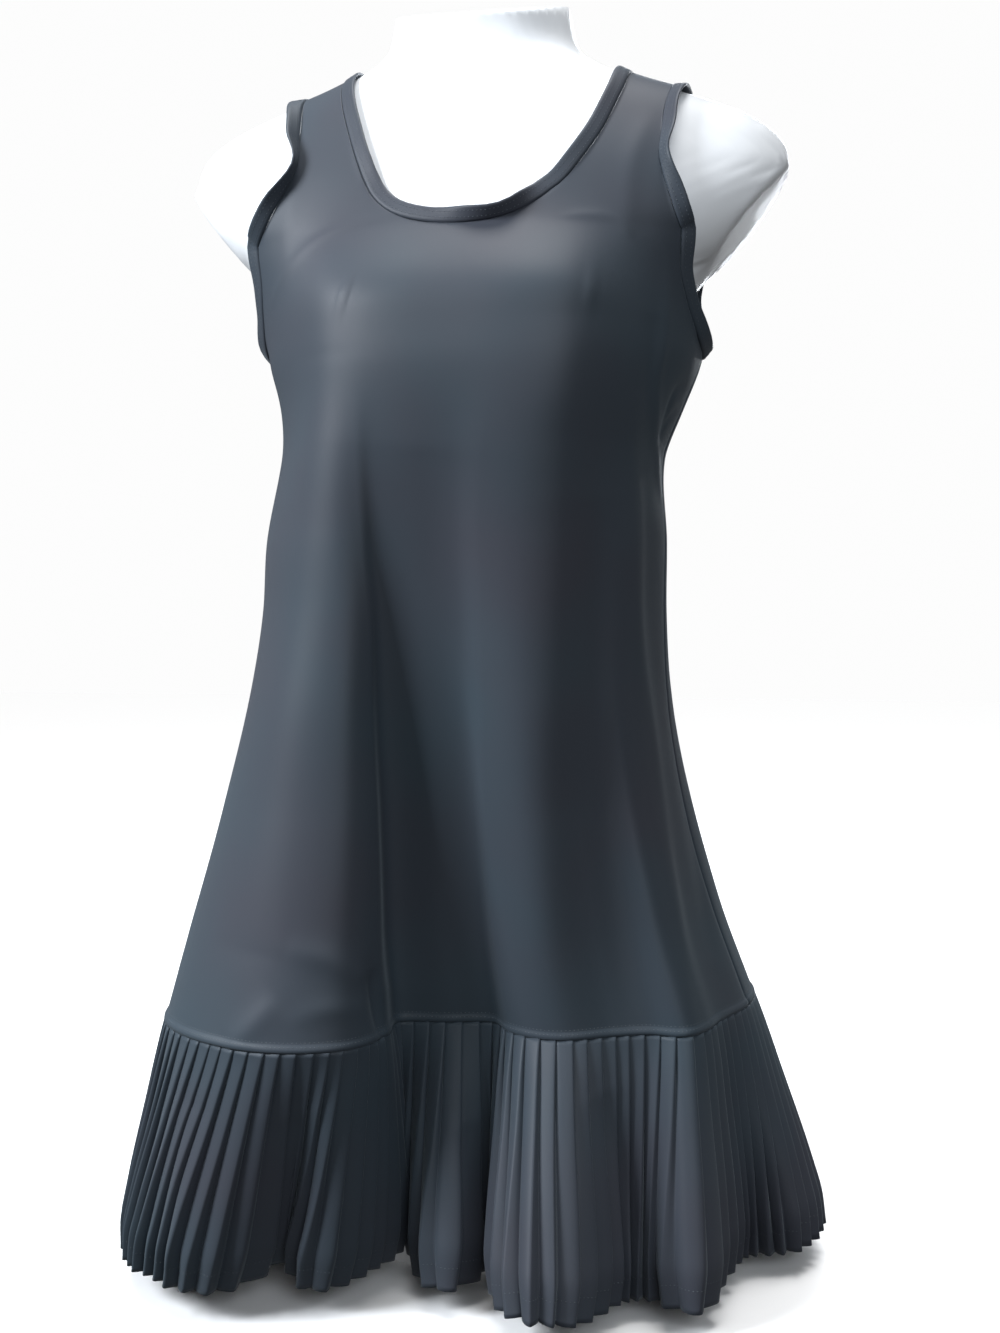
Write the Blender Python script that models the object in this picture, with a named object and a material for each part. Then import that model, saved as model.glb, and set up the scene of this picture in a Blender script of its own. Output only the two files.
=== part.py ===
"""Sleeveless A-line tennis dress with a knife-pleated flounce, on a white torso dress form.

Metres, +Z up. The wearer's front faces -Y and the wearer's left is +X. The origin is on the
floor, under the middle of the whole object. The form stands on its flat base at height 0, its
shoulders carry the dress, and the pleated hem hangs just clear of the floor.
"""
import math
from bisect import bisect_right
from collections import namedtuple

import bpy
import numpy as np

MM = 0.001

# Driving sizes
CLOTH = 1.1 * MM               # wall of the jersey pieces
BINDING = 1.9 * MM             # wall of the folded bindings
BINDING_WIDTH = 10.5 * MM
SEAM_GAP = 0.3 * MM            # between two pieces that are sewn together
SHOULDER_REST = 1.2 * MM       # from the form's shoulders out to the cloth's inner face
SPLIT_HEIGHT = 0.694           # above it the cloth follows the shoulders over their ridge
FLOUNCE_SEAM = 0.180           # height of the seam that carries the pleats
FLOUNCE_DROP = 0.166           # length of the pleated cloth, seam to hem
PLEATS_FRONT = 60
PLEATS_BACK = 58
PLEAT_DEPTH_SEAM = 2.2 * MM
PLEAT_DEPTH_HEM = 6.0 * MM
PLEAT_RETURN = 0.30            # share of a pleat's pitch taken by its short face, to the left
PLEAT_OPENING = 0.8            # below 1, the pleats open quickly under the seam
MITRE_LIMIT = 0.5              # keeps the wall's corners short at sharp turns
FOLD_TOP = 0.61                # the hanging folds fade out at this height
FOLD_GROWTH = 1.15             # above 1, the folds grow faster towards the hem
BACK_NECK_HEIGHT = 0.757       # lowest point of the back neck's seam
STRAP_SHIFT = 7 * MM           # the straps sit a little to the wearer's left
STRAP_SHIFT_RISE = 0.4         # share of the way up a strap over which they move there
NECK_LIFT = 1.0 * MM           # the bindings' free edges stand off the form
ARMHOLE_LIFT = 1.5 * MM
CENTRE_X = 6.4 * MM            # moves the whole object so that its box is centred
CENTRE_Y = -9.7 * MM

LEVEL_BAND = 0.1               # above the seam, where the wall's direction stays level
CLOTH_SMOOTH = 40              # degrees, above which an edge is shown sharp
FORM_SMOOTH = 35
TINY = 1e-6

FRONT_COLUMNS = 40
BACK_COLUMNS = 32
BODY_HEIGHTS = (0.23, 0.28, 0.33, 0.38, 0.43, 0.475, 0.515, 0.55, 0.58, 0.605)
STRAP_ROWS = 9
BACK_YOKE_ROWS = 4

# The dress form, by height: half width, y of the side line, depths to the front and the back
Section = namedtuple("Section", "height half_width side_y front back power")
FORM = (
    Section(0.000, 0.100, 0.020, 0.056, 0.066, 2.3),
    Section(0.090, 0.108, 0.017, 0.056, 0.072, 2.3),
    Section(0.180, 0.123, 0.012, 0.053, 0.084, 2.2),
    Section(0.250, 0.132, 0.008, 0.064, 0.094, 2.1),
    Section(0.320, 0.130, 0.004, 0.073, 0.098, 2.1),
    Section(0.390, 0.123, 0.002, 0.080, 0.088, 2.1),
    Section(0.450, 0.117, 0.000, 0.084, 0.076, 2.2),
    Section(0.500, 0.110, 0.000, 0.084, 0.068, 2.2),
    Section(0.550, 0.113, 0.000, 0.090, 0.070, 2.2),
    Section(0.600, 0.124, 0.001, 0.101, 0.079, 2.2),
    Section(0.645, 0.135, 0.004, 0.112, 0.090, 2.2),
    Section(0.670, 0.147, 0.007, 0.110, 0.094, 2.2),
    Section(0.685, 0.162, 0.009, 0.107, 0.095, 2.2),
    Section(SPLIT_HEIGHT, 0.175, 0.010, 0.104, 0.095, 2.2),
    Section(0.712, 0.198, 0.011, 0.0965, 0.093, 2.2),
    Section(0.730, 0.209, 0.012, 0.091, 0.089, 2.2),
    Section(0.747, 0.212, 0.012, 0.085, 0.083, 2.1),
    Section(0.765, 0.208, 0.012, 0.077, 0.075, 2.0),
    Section(0.778, 0.194, 0.012, 0.071, 0.068, 2.0),
    Section(0.787, 0.176, 0.012, 0.067, 0.063, 2.0),
    Section(0.796, 0.149, 0.011, 0.063, 0.059, 2.0),
    Section(0.805, 0.120, 0.010, 0.060, 0.055, 2.0),
    Section(0.815, 0.094, 0.009, 0.057, 0.052, 2.0),
    Section(0.825, 0.075, 0.008, 0.055, 0.050, 2.0),
    Section(0.835, 0.065, 0.007, 0.055, 0.050, 2.0),
    Section(0.862, 0.060, 0.004, 0.054, 0.050, 2.0),
)
NECK_SLANT = 0.38              # the neck's flat top rises towards the back by this slope
SPLIT = FORM[13]
FORM_FRONT_POINTS = 17
FORM_SIDE_POINTS = 3
SHOULDER_LOW = 0.765           # the shoulders' top line runs between these heights
SHOULDER_HIGH = 0.845
# The shoulder is cut off by a plane that leans in towards the armpit
ARM_CUT_HEIGHT = 0.685
ARM_CUT_X = 0.158
ARM_CUT_SLOPE = 0.80
SIDE_ANGLE = math.radians(62)

# The plain dress without its folds, inner face, below the split height
Ring = namedtuple("Ring", "height centre_x half_width side_y front back power")
DRESS = (
    Ring(0.180, -0.010, 0.204, 0.000, 0.150, 0.150, 2.0),
    Ring(0.250, -0.013, 0.181, 0.000, 0.143, 0.136, 2.0),
    Ring(0.320, -0.013, 0.161, 0.000, 0.138, 0.123, 2.0),
    Ring(0.400, -0.011, 0.143, 0.000, 0.134, 0.110, 2.1),
    Ring(0.450, -0.009, 0.1375, 0.000, 0.131, 0.104, 2.1),
    Ring(0.500, -0.008, 0.136, 0.000, 0.128, 0.100, 2.1),
    Ring(0.555, -0.004, 0.1295, 0.000, 0.125, 0.098, 2.2),
    Ring(0.590, 0.001, 0.137, 0.001, 0.123, 0.098, 2.2),
    Ring(0.6215, 0.002, 0.148, 0.003, 0.121, 0.099, 2.2),
    Ring(0.650, 0.001, 0.1525, 0.005, 0.119, 0.100, 2.2),
    Ring(0.675, 0.000, 0.162, 0.008, 0.113, 0.099, 2.2),
    Ring(SPLIT_HEIGHT, 0.000, SPLIT.half_width + SHOULDER_REST, SPLIT.side_y,
         SPLIT.front + SHOULDER_REST, SPLIT.back + SHOULDER_REST, SPLIT.power),
)

# Bust: two soft mounds on the form; the cloth hangs from their tips
BUST_X = 0.072
BUST_HEIGHT = 0.645
BUST_RADIUS_X = 0.034
BUST_RADIUS_UP = 0.034
BUST_RADIUS_DOWN = 0.030
BUST_FULLNESS = 0.014
CLOTH_HANG_DOWN = 0.16         # below the tips the cloth comes back in over this height
CLOTH_DIP = 0.3                # share of the fullness that the cloth loses between the tips

# Seam and hem rings by fold: place on the body as an angle from the front, then x and y
Fold = namedtuple("Fold", "name angle seam_x seam_y hem_x hem_y")
FOLDS = (
    Fold("left side", -90, -0.206, -0.026, -0.243, -0.004),
    Fold("left lobe, outer edge", -70, -0.192, -0.098, -0.228, -0.074),
    Fold("left lobe, flank", -56, -0.150, -0.136, -0.196, -0.118),
    Fold("left lobe, crest", -43, -0.102, -0.150, -0.140, -0.124),
    Fold("left lobe, hem hollow", -37.3, -0.0818, -0.1467, -0.114, -0.092),
    Fold("left lobe, inner flank", -32, -0.064, -0.138, -0.092, -0.112),
    Fold("left lobe, turn", -24, -0.044, -0.104, -0.058, -0.070),
    Fold("middle recess, start", -17, -0.044, -0.066, -0.044, -0.034),
    Fold("middle recess", -7, -0.012, -0.060, -0.008, -0.100),
    Fold("middle recess, end", 3, 0.020, -0.056, 0.020, -0.052),
    Fold("right lobe, turn", 11, 0.034, -0.076, 0.0425, -0.138),
    Fold("right lobe, crest", 22, 0.066, -0.090, 0.074, -0.150),
    Fold("right lobe, flank", 36, 0.102, -0.076, 0.104, -0.086),
    Fold("right lobe, hollow", 46, 0.124, -0.068, 0.126, -0.082),
    Fold("right ridge", 56, 0.146, -0.068, 0.154, -0.100),
    Fold("right ridge, turn", 63.4, 0.1573, -0.0516, 0.164, -0.052),
    Fold("right recess", 70, 0.164, -0.030, 0.174, -0.014),
    Fold("right side", 90, 0.183, 0.018, 0.218, 0.006),
    Fold("right side lobe", 106, 0.185, 0.064, 0.230, 0.054),
    Fold("back right flank", 124, 0.162, 0.112, 0.200, 0.118),
    Fold("back right lobe", 142, 0.118, 0.150, 0.150, 0.176),
    Fold("back right recess", 160, 0.072, 0.124, 0.086, 0.134),
    Fold("back middle lobe", 180, 0.018, 0.146, 0.020, 0.176),
    Fold("back left recess", 201, -0.046, 0.120, -0.048, 0.130),
    Fold("back left lobe", 219, -0.102, 0.148, -0.126, 0.170),
    Fold("back left flank", 237, -0.158, 0.112, -0.192, 0.122),
    Fold("left side, rear", 254, -0.190, 0.048, -0.228, 0.062),
)
LEFT_SIDE = 0
RIGHT_SIDE = 17

# Where the bindings are sewn on: height above the floor and distance from the middle
Edge = namedtuple("Edge", "height x")
NECK_FRONT = (
    Edge(SPLIT_HEIGHT, 0.000),
    Edge(0.6965, 0.022),
    Edge(0.7025, 0.040),
    Edge(0.716, 0.058),
    Edge(0.738, 0.073),
    Edge(0.765, 0.0855),
    Edge(0.792, 0.0945),
    Edge(0.818, 0.0985),
)
NECK_BACK = (
    Edge(BACK_NECK_HEIGHT, 0.000),
    Edge(0.7590, 0.026),
    Edge(0.7645, 0.046),
    Edge(0.7740, 0.063),
    Edge(0.7870, 0.078),
    Edge(0.8020, 0.091),
    Edge(0.818, 0.0985),
)
# The armholes' lower curve: height and angle from the middle of the front or of the back
Armpit = namedtuple("Armpit", "height angle")
ARMPIT = (
    Armpit(0.6215, 90),
    Armpit(0.628, 81),
    Armpit(0.638, 73.5),
    Armpit(0.650, 67),
    Armpit(0.664, 61),
    Armpit(0.680, 55.5),
)
ARMHOLE_FRONT = (
    Edge(SPLIT_HEIGHT, 0.1385),
    Edge(0.710, 0.1310),
    Edge(0.728, 0.1235),
    Edge(0.748, 0.1195),
    Edge(0.770, 0.1205),
    Edge(0.790, 0.1235),
    Edge(0.806, 0.1255),
)
ARMHOLE_BACK = (
    Edge(SPLIT_HEIGHT, 0.1330),
    Edge(0.710, 0.1230),
    Edge(0.728, 0.1160),
    Edge(0.748, 0.1135),
    Edge(0.770, 0.1160),
    Edge(0.790, 0.1215),
    Edge(0.806, 0.1255),
)

# Each material's colour and roughness
FINISHES = {
    "jersey": ((0.030, 0.037, 0.042, 1.0), 0.55),
    "pleated_jersey": ((0.024, 0.030, 0.032, 1.0), 0.60),
    "binding_jersey": ((0.027, 0.034, 0.038, 1.0), 0.58),
    "white_plastic": ((0.86, 0.88, 0.90, 1.0), 0.40),
}


class Track:
    """A smooth line through the values of a table's column, closed when it has a period."""

    def __init__(self, knots, values, period=None, climb=0.0):
        self.knots = list(knots)
        self.values = list(values)
        self.period = period
        self.climb = climb
        if period is not None:
            self.knots = [self.knots[-1] - period] + self.knots + [self.knots[0] + period]
            self.knots.append(self.knots[2] + period)
            first, second = self.values[0], self.values[1]
            self.values = [self.values[-1] - climb] + self.values + [first + climb]
            self.values.append(second + climb)
        self.slopes = self._slopes()

    def _slopes(self):
        steps = np.diff(self.knots)
        rises = np.diff(self.values) / steps
        slopes = [rises[0]]
        for before, after, left, right in zip(rises, rises[1:], steps, steps[1:]):
            if self.period is None and before * after <= 0:
                slopes.append(0.0)
            else:
                slopes.append((before * right + after * left) / (left + right))
        slopes.append(rises[-1])
        return slopes

    def __call__(self, at):
        turns = 0
        if self.period is not None:
            turns = math.floor((at - self.knots[1]) / self.period)
            at -= turns * self.period
        at = min(max(at, self.knots[0]), self.knots[-1])
        k = min(max(bisect_right(self.knots, at) - 1, 0), len(self.knots) - 2)
        step = self.knots[k + 1] - self.knots[k]
        t = (at - self.knots[k]) / step
        start = (1 + 2 * t) * (1 - t) ** 2 * self.values[k]
        start += t * (1 - t) ** 2 * step * self.slopes[k]
        end = t * t * (3 - 2 * t) * self.values[k + 1]
        end += t * t * (t - 1) * step * self.slopes[k + 1]
        return start + end + turns * self.climb


def tracks(rows):
    """One Track for each column of a table, along its height column."""
    heights = [row.height for row in rows]
    names = [name for name in rows[0]._fields if name != "height"]
    return {name: Track(heights, [getattr(row, name) for row in rows]) for name in names}


form_at = tracks(FORM)
dress_at = tracks(DRESS)


def superellipse_y(share, power):
    """Height of a superellipse of unit size at a share of its half width."""
    return max(0.0, 1.0 - min(abs(share), 1.0) ** power) ** (1.0 / power)


def bust_profile(height, fall):
    """The bust's fullness at a height, from 0 to 1."""
    radius = fall if height < BUST_HEIGHT else BUST_RADIUS_UP
    return math.exp(-((height - BUST_HEIGHT) / radius) ** 2)


def form_bust(x, height):
    """How far the form's two mounds stand out at a place on the front."""
    left = math.exp(-((x + BUST_X) / BUST_RADIUS_X) ** 2)
    right = math.exp(-((x - BUST_X) / BUST_RADIUS_X) ** 2)
    return BUST_FULLNESS * bust_profile(height, BUST_RADIUS_DOWN) * (left + right)


def cloth_bust(x, height):
    """How far the cloth stands out over the mounds, which it bridges and hangs from."""
    beyond = max(abs(x) - BUST_X, 0.0) / BUST_RADIUS_X
    dip = CLOTH_DIP * max(1.0 - abs(x) / BUST_X, 0.0) ** 2
    return BUST_FULLNESS * bust_profile(height, CLOTH_HANG_DOWN) * math.exp(-beyond ** 2) * (1 - dip)


def form_point(side, x, height, room=0.0, mound=form_bust):
    """A point on the form's front (side -1) or back (side 1), moved out by some room."""
    width = form_at["half_width"](height) + room
    depth = form_at["front" if side < 0 else "back"](height) + room
    power = form_at["power"](height)
    y = form_at["side_y"](height) + side * depth * superellipse_y(x / width, power)
    if side < 0:
        y -= mound(x, height)
    return np.array((x, y, height))


def ridge_height(x):
    """Height of the shoulders' top line at a distance from the middle."""
    low, high = SHOULDER_LOW, SHOULDER_HIGH
    for _ in range(30):
        middle = 0.5 * (low + high)
        if form_at["half_width"](middle) > abs(x):
            low = middle
        else:
            high = middle
    return 0.5 * (low + high)


def shoulder_point(side, x, rise):
    """A point of the cloth above the split: rise 0 at the split, 1 on the shoulder's ridge."""
    x += STRAP_SHIFT * math.sin(min(rise / STRAP_SHIFT_RISE, 1.0) * math.pi / 2)
    top = ridge_height(max(abs(x) - SHOULDER_REST, 0.0))
    height = SPLIT_HEIGHT + (top - SPLIT_HEIGHT) * math.sin(rise * math.pi / 2)
    point = form_point(side, x, height, SHOULDER_REST, cloth_bust)
    point[2] += SHOULDER_REST * rise
    return point


def rise_of(x, height):
    """The rise at which the cloth above the split reaches a height."""
    top = ridge_height(x)
    share = (height - SPLIT_HEIGHT) / (top - SPLIT_HEIGHT)
    return math.asin(min(max(share, 0.0), 1.0)) * 2 / math.pi


def ring_point(angle, height):
    """A point of the plain dress, by its angle from the front and its height."""
    power = dress_at["power"](height)
    sine = math.sin(angle)
    cosine = math.cos(angle)
    x = dress_at["half_width"](height) * math.copysign(abs(sine) ** (2 / power), sine)
    depth = dress_at["front" if cosine > 0 else "back"](height)
    y = dress_at["side_y"](height)
    y -= depth * math.copysign(abs(cosine) ** (2 / power), cosine)
    if cosine > 0:
        y -= cloth_bust(x, height) * cosine ** 0.5
    return np.array((x + dress_at["centre_x"](height), y, height))


def fold_tracks():
    """The folds' columns as closed lines along the seam ring."""
    knots = [0.0]
    for fold, after in zip(FOLDS, FOLDS[1:] + FOLDS[:1]):
        knots.append(knots[-1] + math.hypot(after.seam_x - fold.seam_x, after.seam_y - fold.seam_y))
    length = knots.pop()
    lines = {"angle": Track(knots, [math.radians(f.angle) for f in FOLDS], length, 2 * math.pi)}
    for name in ("seam_x", "seam_y", "hem_x", "hem_y"):
        lines[name] = Track(knots, [getattr(f, name) for f in FOLDS], length)
    return lines, knots, length


fold_at, FOLD_KNOTS, SEAM_LENGTH = fold_tracks()
U_LEFT = FOLD_KNOTS[LEFT_SIDE]
U_RIGHT = FOLD_KNOTS[RIGHT_SIDE]


def dress_point(u, height):
    """A point of the dress below the folds' top, by its place along the seam ring."""
    angle = fold_at["angle"](u)
    point = ring_point(angle, height)
    weight = max(0.0, (FOLD_TOP - height) / (FOLD_TOP - FLOUNCE_SEAM)) ** FOLD_GROWTH
    if weight > 0:
        seam = np.array((fold_at["seam_x"](u), fold_at["seam_y"](u), FLOUNCE_SEAM))
        point += weight * (seam - ring_point(angle, FLOUNCE_SEAM))
    return point


def flounce_point(u, share):
    """A point on the pleats' middle line: share 0 at the seam, 1 at the hem."""
    seam = np.array((fold_at["seam_x"](u), fold_at["seam_y"](u)))
    hem = np.array((fold_at["hem_x"](u), fold_at["hem_y"](u)))
    reach = hem - seam
    fall = math.sqrt(FLOUNCE_DROP ** 2 - float(reach @ reach))
    place = seam + reach * share
    return np.array((place[0], place[1], FLOUNCE_SEAM - fall * share))


def unit(vector):
    return vector / np.linalg.norm(vector)


class Sheet:
    """An open sheet of points and faces that becomes a wall of an even thickness."""

    def __init__(self):
        self.points = []
        self.outward = []
        self.faces = []

    def add(self, point, outward):
        self.points.append(np.array(point))
        self.outward.append(np.array(outward))
        return len(self.points) - 1

    def row_faces(self, lower, upper):
        for k in range(len(lower) - 1):
            self.faces.append((lower[k], lower[k + 1], upper[k + 1], upper[k]))

    def solid(self, name, finish, thickness):
        count = len(self.points)
        outer = [p + n * thickness for p, n in zip(self.points, self.outward)]
        faces = [tuple(count + k for k in face) for face in self.faces]
        faces += [tuple(reversed(face)) for face in self.faces]
        used = {}
        for face in self.faces:
            for a, b in zip(face, face[1:] + face[:1]):
                used[(a, b)] = True
        for a, b in used:
            if (b, a) not in used:
                faces.append((a, b, count + b, count + a))
        return make_object(name, self.points + outer, faces, finish)


def make_object(name, points, faces, finish, smooth_angle=CLOTH_SMOOTH):
    mesh = bpy.data.meshes.new(name)
    shift = np.array((CENTRE_X, CENTRE_Y, 0.0))
    mesh.from_pydata([tuple(p + shift) for p in points], [], faces)
    mesh.shade_smooth()
    mesh.set_sharp_from_angle(angle=math.radians(smooth_angle))
    shape = bpy.data.objects.new(name, mesh)
    mesh.materials.append(bpy.data.materials[finish])
    bpy.data.collections["tennis_dress"].objects.link(shape)
    return shape


def place_of(angle, low, high):
    """The place along the seam ring whose line meets the body at an angle."""
    for _ in range(40):
        middle = 0.5 * (low + high)
        if fold_at["angle"](middle) < angle:
            low = middle
        else:
            high = middle
    return 0.5 * (low + high)


def split_angle(x):
    """The angle from the middle at which the ring at the split height reaches x."""
    share = x / dress_at["half_width"](SPLIT_HEIGHT)
    return math.asin(share ** (dress_at["power"](SPLIT_HEIGHT) / 2))


def edge_track(edges, low_rise=None):
    """Distance of a bound edge from the middle, by rise."""
    rises = [rise_of(edge.x, edge.height) for edge in edges]
    rises[-1] = 1.0
    if low_rise is not None:
        rises[0] = low_rise
    return Track(rises, [edge.x for edge in edges])


class Panel(Sheet):
    """The front or the back of the dress, with its neck and armhole edges."""

    def __init__(self, side, columns, neck, armhole, yoke_rows):
        super().__init__()
        self.side = side
        self.columns = columns
        self.middle = columns // 2
        start = U_LEFT if side < 0 else U_RIGHT
        end = U_RIGHT if side < 0 else U_LEFT + SEAM_LENGTH
        self.centre = 0.0 if side < 0 else math.pi
        middle = place_of(self.centre, start, end)
        halves = (np.linspace(start + SEAM_GAP / 2, middle, self.middle + 1),
                  np.linspace(middle, end - SEAM_GAP / 2, self.middle + 1)[1:])
        self.places = np.concatenate(halves)
        self.rows = []
        self.straps = ([], [])
        self.body_rows()
        low = 0.0 if side < 0 else rise_of(0.0, BACK_NECK_HEIGHT)
        self.yoke_and_straps(edge_track(neck, low), edge_track(armhole), low, yoke_rows)
        self.set_outward()

    def row(self, points):
        indices = [self.add(point, (0, 0, 0)) for point in points]
        if self.rows:
            self.row_faces(self.rows[-1], indices)
        self.rows.append(indices)

    def body_rows(self):
        for height in (FLOUNCE_SEAM + SEAM_GAP / 2,) + BODY_HEIGHTS + (ARMPIT[0].height,):
            self.row([dress_point(u, height) for u in self.places])
        for armpit in ARMPIT[1:]:
            self.ring_row(armpit.height, math.radians(armpit.angle))

    def ring_row(self, height, edge_angle):
        share = edge_angle / (math.pi / 2)
        angles = [fold_at["angle"](u) for u in self.places]
        row = [ring_point(self.centre + (a - self.centre) * share, height) for a in angles]
        self.row(row)

    def yoke_and_straps(self, neck, armhole, low, yoke_rows):
        self.ring_row(SPLIT_HEIGHT, split_angle(armhole(0.0)))
        edge = armhole(0.0)
        shares = [self.points[k][0] / edge for k in self.rows[-1]]
        for k in range(1, yoke_rows + 1):
            rise = low * k / yoke_rows
            self.row([shoulder_point(self.side, armhole(rise) * s, rise) for s in shares])
        self.neck_bottom = len(self.rows) - 1
        halves = (range(self.middle + 1), range(self.middle, self.columns + 1))
        for half, columns in enumerate(halves):
            below = [self.rows[-1][k] for k in columns]
            for step in range(1, STRAP_ROWS + 1):
                rise = low + (1 - low) * 0.5 * (1 - math.cos(math.pi * step / STRAP_ROWS))
                inner, outer = neck(rise), armhole(rise)
                xs = []
                for k in columns:
                    turned = 1 if shares[k] > TINY else -1
                    if k == self.middle:
                        turned = 1 if half == (0 if self.side > 0 else 1) else -1
                    xs.append(turned * (inner + (outer - inner) * abs(shares[k])))
                points = [shoulder_point(self.side, x, rise) for x in xs]
                if step == STRAP_ROWS:
                    for point in points:
                        point[1] += self.side * SEAM_GAP / 2
                above = [self.add(point, (0, 0, 0)) for point in points]
                self.row_faces(below, above)
                self.straps[half].append(above)
                below = above

    def set_outward(self):
        """Outward direction of each point, level at the lower edge."""
        sums = np.zeros((len(self.points), 3))
        for face in self.faces:
            a, b, c, d = (self.points[k] for k in face)
            normal = np.cross(c - a, d - b)
            for k in face:
                sums[k] += normal
        for k, total in enumerate(sums):
            level = (self.points[k][2] - FLOUNCE_SEAM - SEAM_GAP) / LEVEL_BAND
            level = min(max(level, 0.0), 1.0)
            self.outward[k] = unit(total * (1, 1, level))

    def neck_edge(self, half):
        """Points and their inner neighbours from the middle of the neck to a shoulder."""
        middle_of_half = -1 if half == 0 else 0
        inward = -2 if half == 0 else 1
        bottom = self.rows[self.neck_bottom][self.middle]
        below = self.rows[self.neck_bottom - 1][self.middle]
        stations = [(bottom, below)]
        stations += [(row[middle_of_half], row[inward]) for row in self.straps[half]]
        return stations

    def armhole_edge(self, half):
        """Points and their inner neighbours from the side seam up to a shoulder."""
        side = 0 if half == 0 else -1
        inward = 1 if half == 0 else -2
        first = next(k for k, row in enumerate(self.rows)
                     if self.points[row[0]][2] > ARMPIT[0].height - TINY)
        stations = [(self.rows[first][side], self.rows[first - 1][side])]
        stations += [(row[side], row[inward]) for row in self.rows[first + 1:]]
        stations += [(row[side], row[inward]) for row in self.straps[half]]
        return stations

    def stations(self, pairs):
        """Place, way to the opening's side and outward direction along an edge."""
        return [(self.points[a], self.points[a] - self.points[b], self.outward[a]) for a, b in pairs]


def joined(first, second):
    """One station between the ends of two edges that meet at a seam."""
    return tuple(0.5 * (a + b) for a, b in zip(first, second))


def binding(name, stations, lift):
    """A closed strip beside a bound edge, reaching into the opening by its width."""
    count = len(stations)
    points = []
    for k, (place, way, outward) in enumerate(stations):
        along = stations[(k + 1) % count][0] - stations[k - 1][0]
        along = unit(along)
        way = unit(way)
        way = way - along * (way @ along)
        way = unit(way - outward * (way @ outward))
        near = place + way * SEAM_GAP
        far = place + way * BINDING_WIDTH + outward * lift
        points += [near, near + outward * BINDING, far + outward * BINDING, far]
    faces = []
    for k in range(count):
        here, after = 4 * k, 4 * ((k + 1) % count)
        for corner in range(4):
            turn = (corner + 1) % 4
            faces.append((here + corner, here + turn, after + turn, after + corner))
    make_object(name, points, faces, "binding_jersey")


def bindings(front, back):
    neck = []
    right_front = front.stations(front.neck_edge(1))
    right_back = back.stations(back.neck_edge(0))
    left_back = back.stations(back.neck_edge(1))
    left_front = front.stations(front.neck_edge(0))
    neck += right_front[:-1] + [joined(right_front[-1], right_back[-1])]
    neck += right_back[-2:0:-1] + left_back[:-1]
    neck += [joined(left_back[-1], left_front[-1])] + left_front[-2:0:-1]
    binding("neck_binding", neck[::-1], NECK_LIFT)
    for name, half in (("armhole_binding_right", 0), ("armhole_binding_left", 1)):
        ahead = front.stations(front.armhole_edge(half))
        behind = back.stations(back.armhole_edge(1 - half))
        loop = [joined(ahead[0], behind[0])] + ahead[1:-1] + [joined(ahead[-1], behind[-1])]
        loop += behind[-2:0:-1]
        if half == 0:
            loop.reverse()
        binding(name, loop, ARMHOLE_LIFT)


def flounce_row(share):
    """The pleats' zigzag round the whole dress at one height, as places and outward ways."""
    depth = PLEAT_DEPTH_SEAM + (PLEAT_DEPTH_HEM - PLEAT_DEPTH_SEAM) * share ** PLEAT_OPENING
    edges = np.concatenate((np.linspace(U_LEFT, U_RIGHT, PLEATS_FRONT + 1)[:-1],
                            np.linspace(U_RIGHT, U_LEFT + SEAM_LENGTH, PLEATS_BACK + 1)))
    places = []
    for start, end in zip(edges, edges[1:]):
        places.append((start, 0.0))
        places.append((start + (end - start) * (1 - PLEAT_RETURN), depth))
    middle = [flounce_point(u, share) for u, _ in places]
    count = len(places)
    row = []
    for k in range(count):
        along = unit((middle[(k + 1) % count] - middle[k - 1])[:2])
        way = np.array((along[1], -along[0], 0.0))
        row.append(middle[k] + way * places[k][1])
    outward = []
    for k in range(count):
        before = unit((row[k] - row[k - 1])[:2])
        after = unit((row[(k + 1) % count] - row[k])[:2])
        mitre = unit(np.array((before[1] + after[1], -before[0] - after[0])))
        length = 1.0 / max(mitre @ np.array((after[1], -after[0])), MITRE_LIMIT)
        outward.append(np.array((mitre[0], mitre[1], 0.0)) * length)
    return row, outward


def flounces():
    shares = (SEAM_GAP / (2 * FLOUNCE_DROP), 0.30, 0.64, 1.0)
    whole = [flounce_row(share) for share in shares]
    count = len(whole[0][0])
    turn = 2 * PLEATS_FRONT
    for name, first, last in (("flounce_front", 0, turn), ("flounce_back", turn, count)):
        sheet = Sheet()
        below = None
        for row, outward in reversed(whole):
            indices = []
            for k in range(first, last + 1):
                point = row[k % count]
                way = outward[k % count]
                if k in (first, last):
                    nearer = 1 if k == first else -1
                    along = unit(row[(k + nearer) % count] - point)
                    point = point + along * SEAM_GAP / 2
                indices.append(sheet.add(point, way))
            if below:
                sheet.row_faces(below, indices)
            below = indices
        sheet.solid(name, "pleated_jersey", CLOTH)


def form_ring(height):
    """One level ring of the dress form, with the shoulders' flat ends."""
    width = form_at["half_width"](height)
    power = form_at["power"](height)
    corner = width * math.sin(SIDE_ANGLE) ** (2 / power)
    cut = ARM_CUT_X + (height - ARM_CUT_HEIGHT) * ARM_CUT_SLOPE
    flat = height >= ARM_CUT_HEIGHT and cut < width
    if flat:
        corner = cut
    limit = math.asin((corner / width) ** (power / 2))
    spread = np.linspace(-limit, limit, FORM_FRONT_POINTS)
    xs = [width * math.copysign(abs(math.sin(a)) ** (2 / power), a) for a in spread]
    front = [form_point(-1, x, height) for x in xs]
    back = [form_point(1, x, height) for x in reversed(xs)]
    right = []
    for k in range(1, FORM_SIDE_POINTS + 1):
        share = k / (FORM_SIDE_POINTS + 1)
        if flat:
            point = front[-1] + (back[0] - front[-1]) * share
        else:
            angle = limit + (math.pi - 2 * limit) * share
            x = width * abs(math.sin(angle)) ** (2 / power)
            point = form_point(-1 if angle < math.pi / 2 else 1, min(x, width), height)
        right.append(point)
    left = [point * (-1, 1, 1) for point in reversed(right)]
    return front + right + back + left


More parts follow.
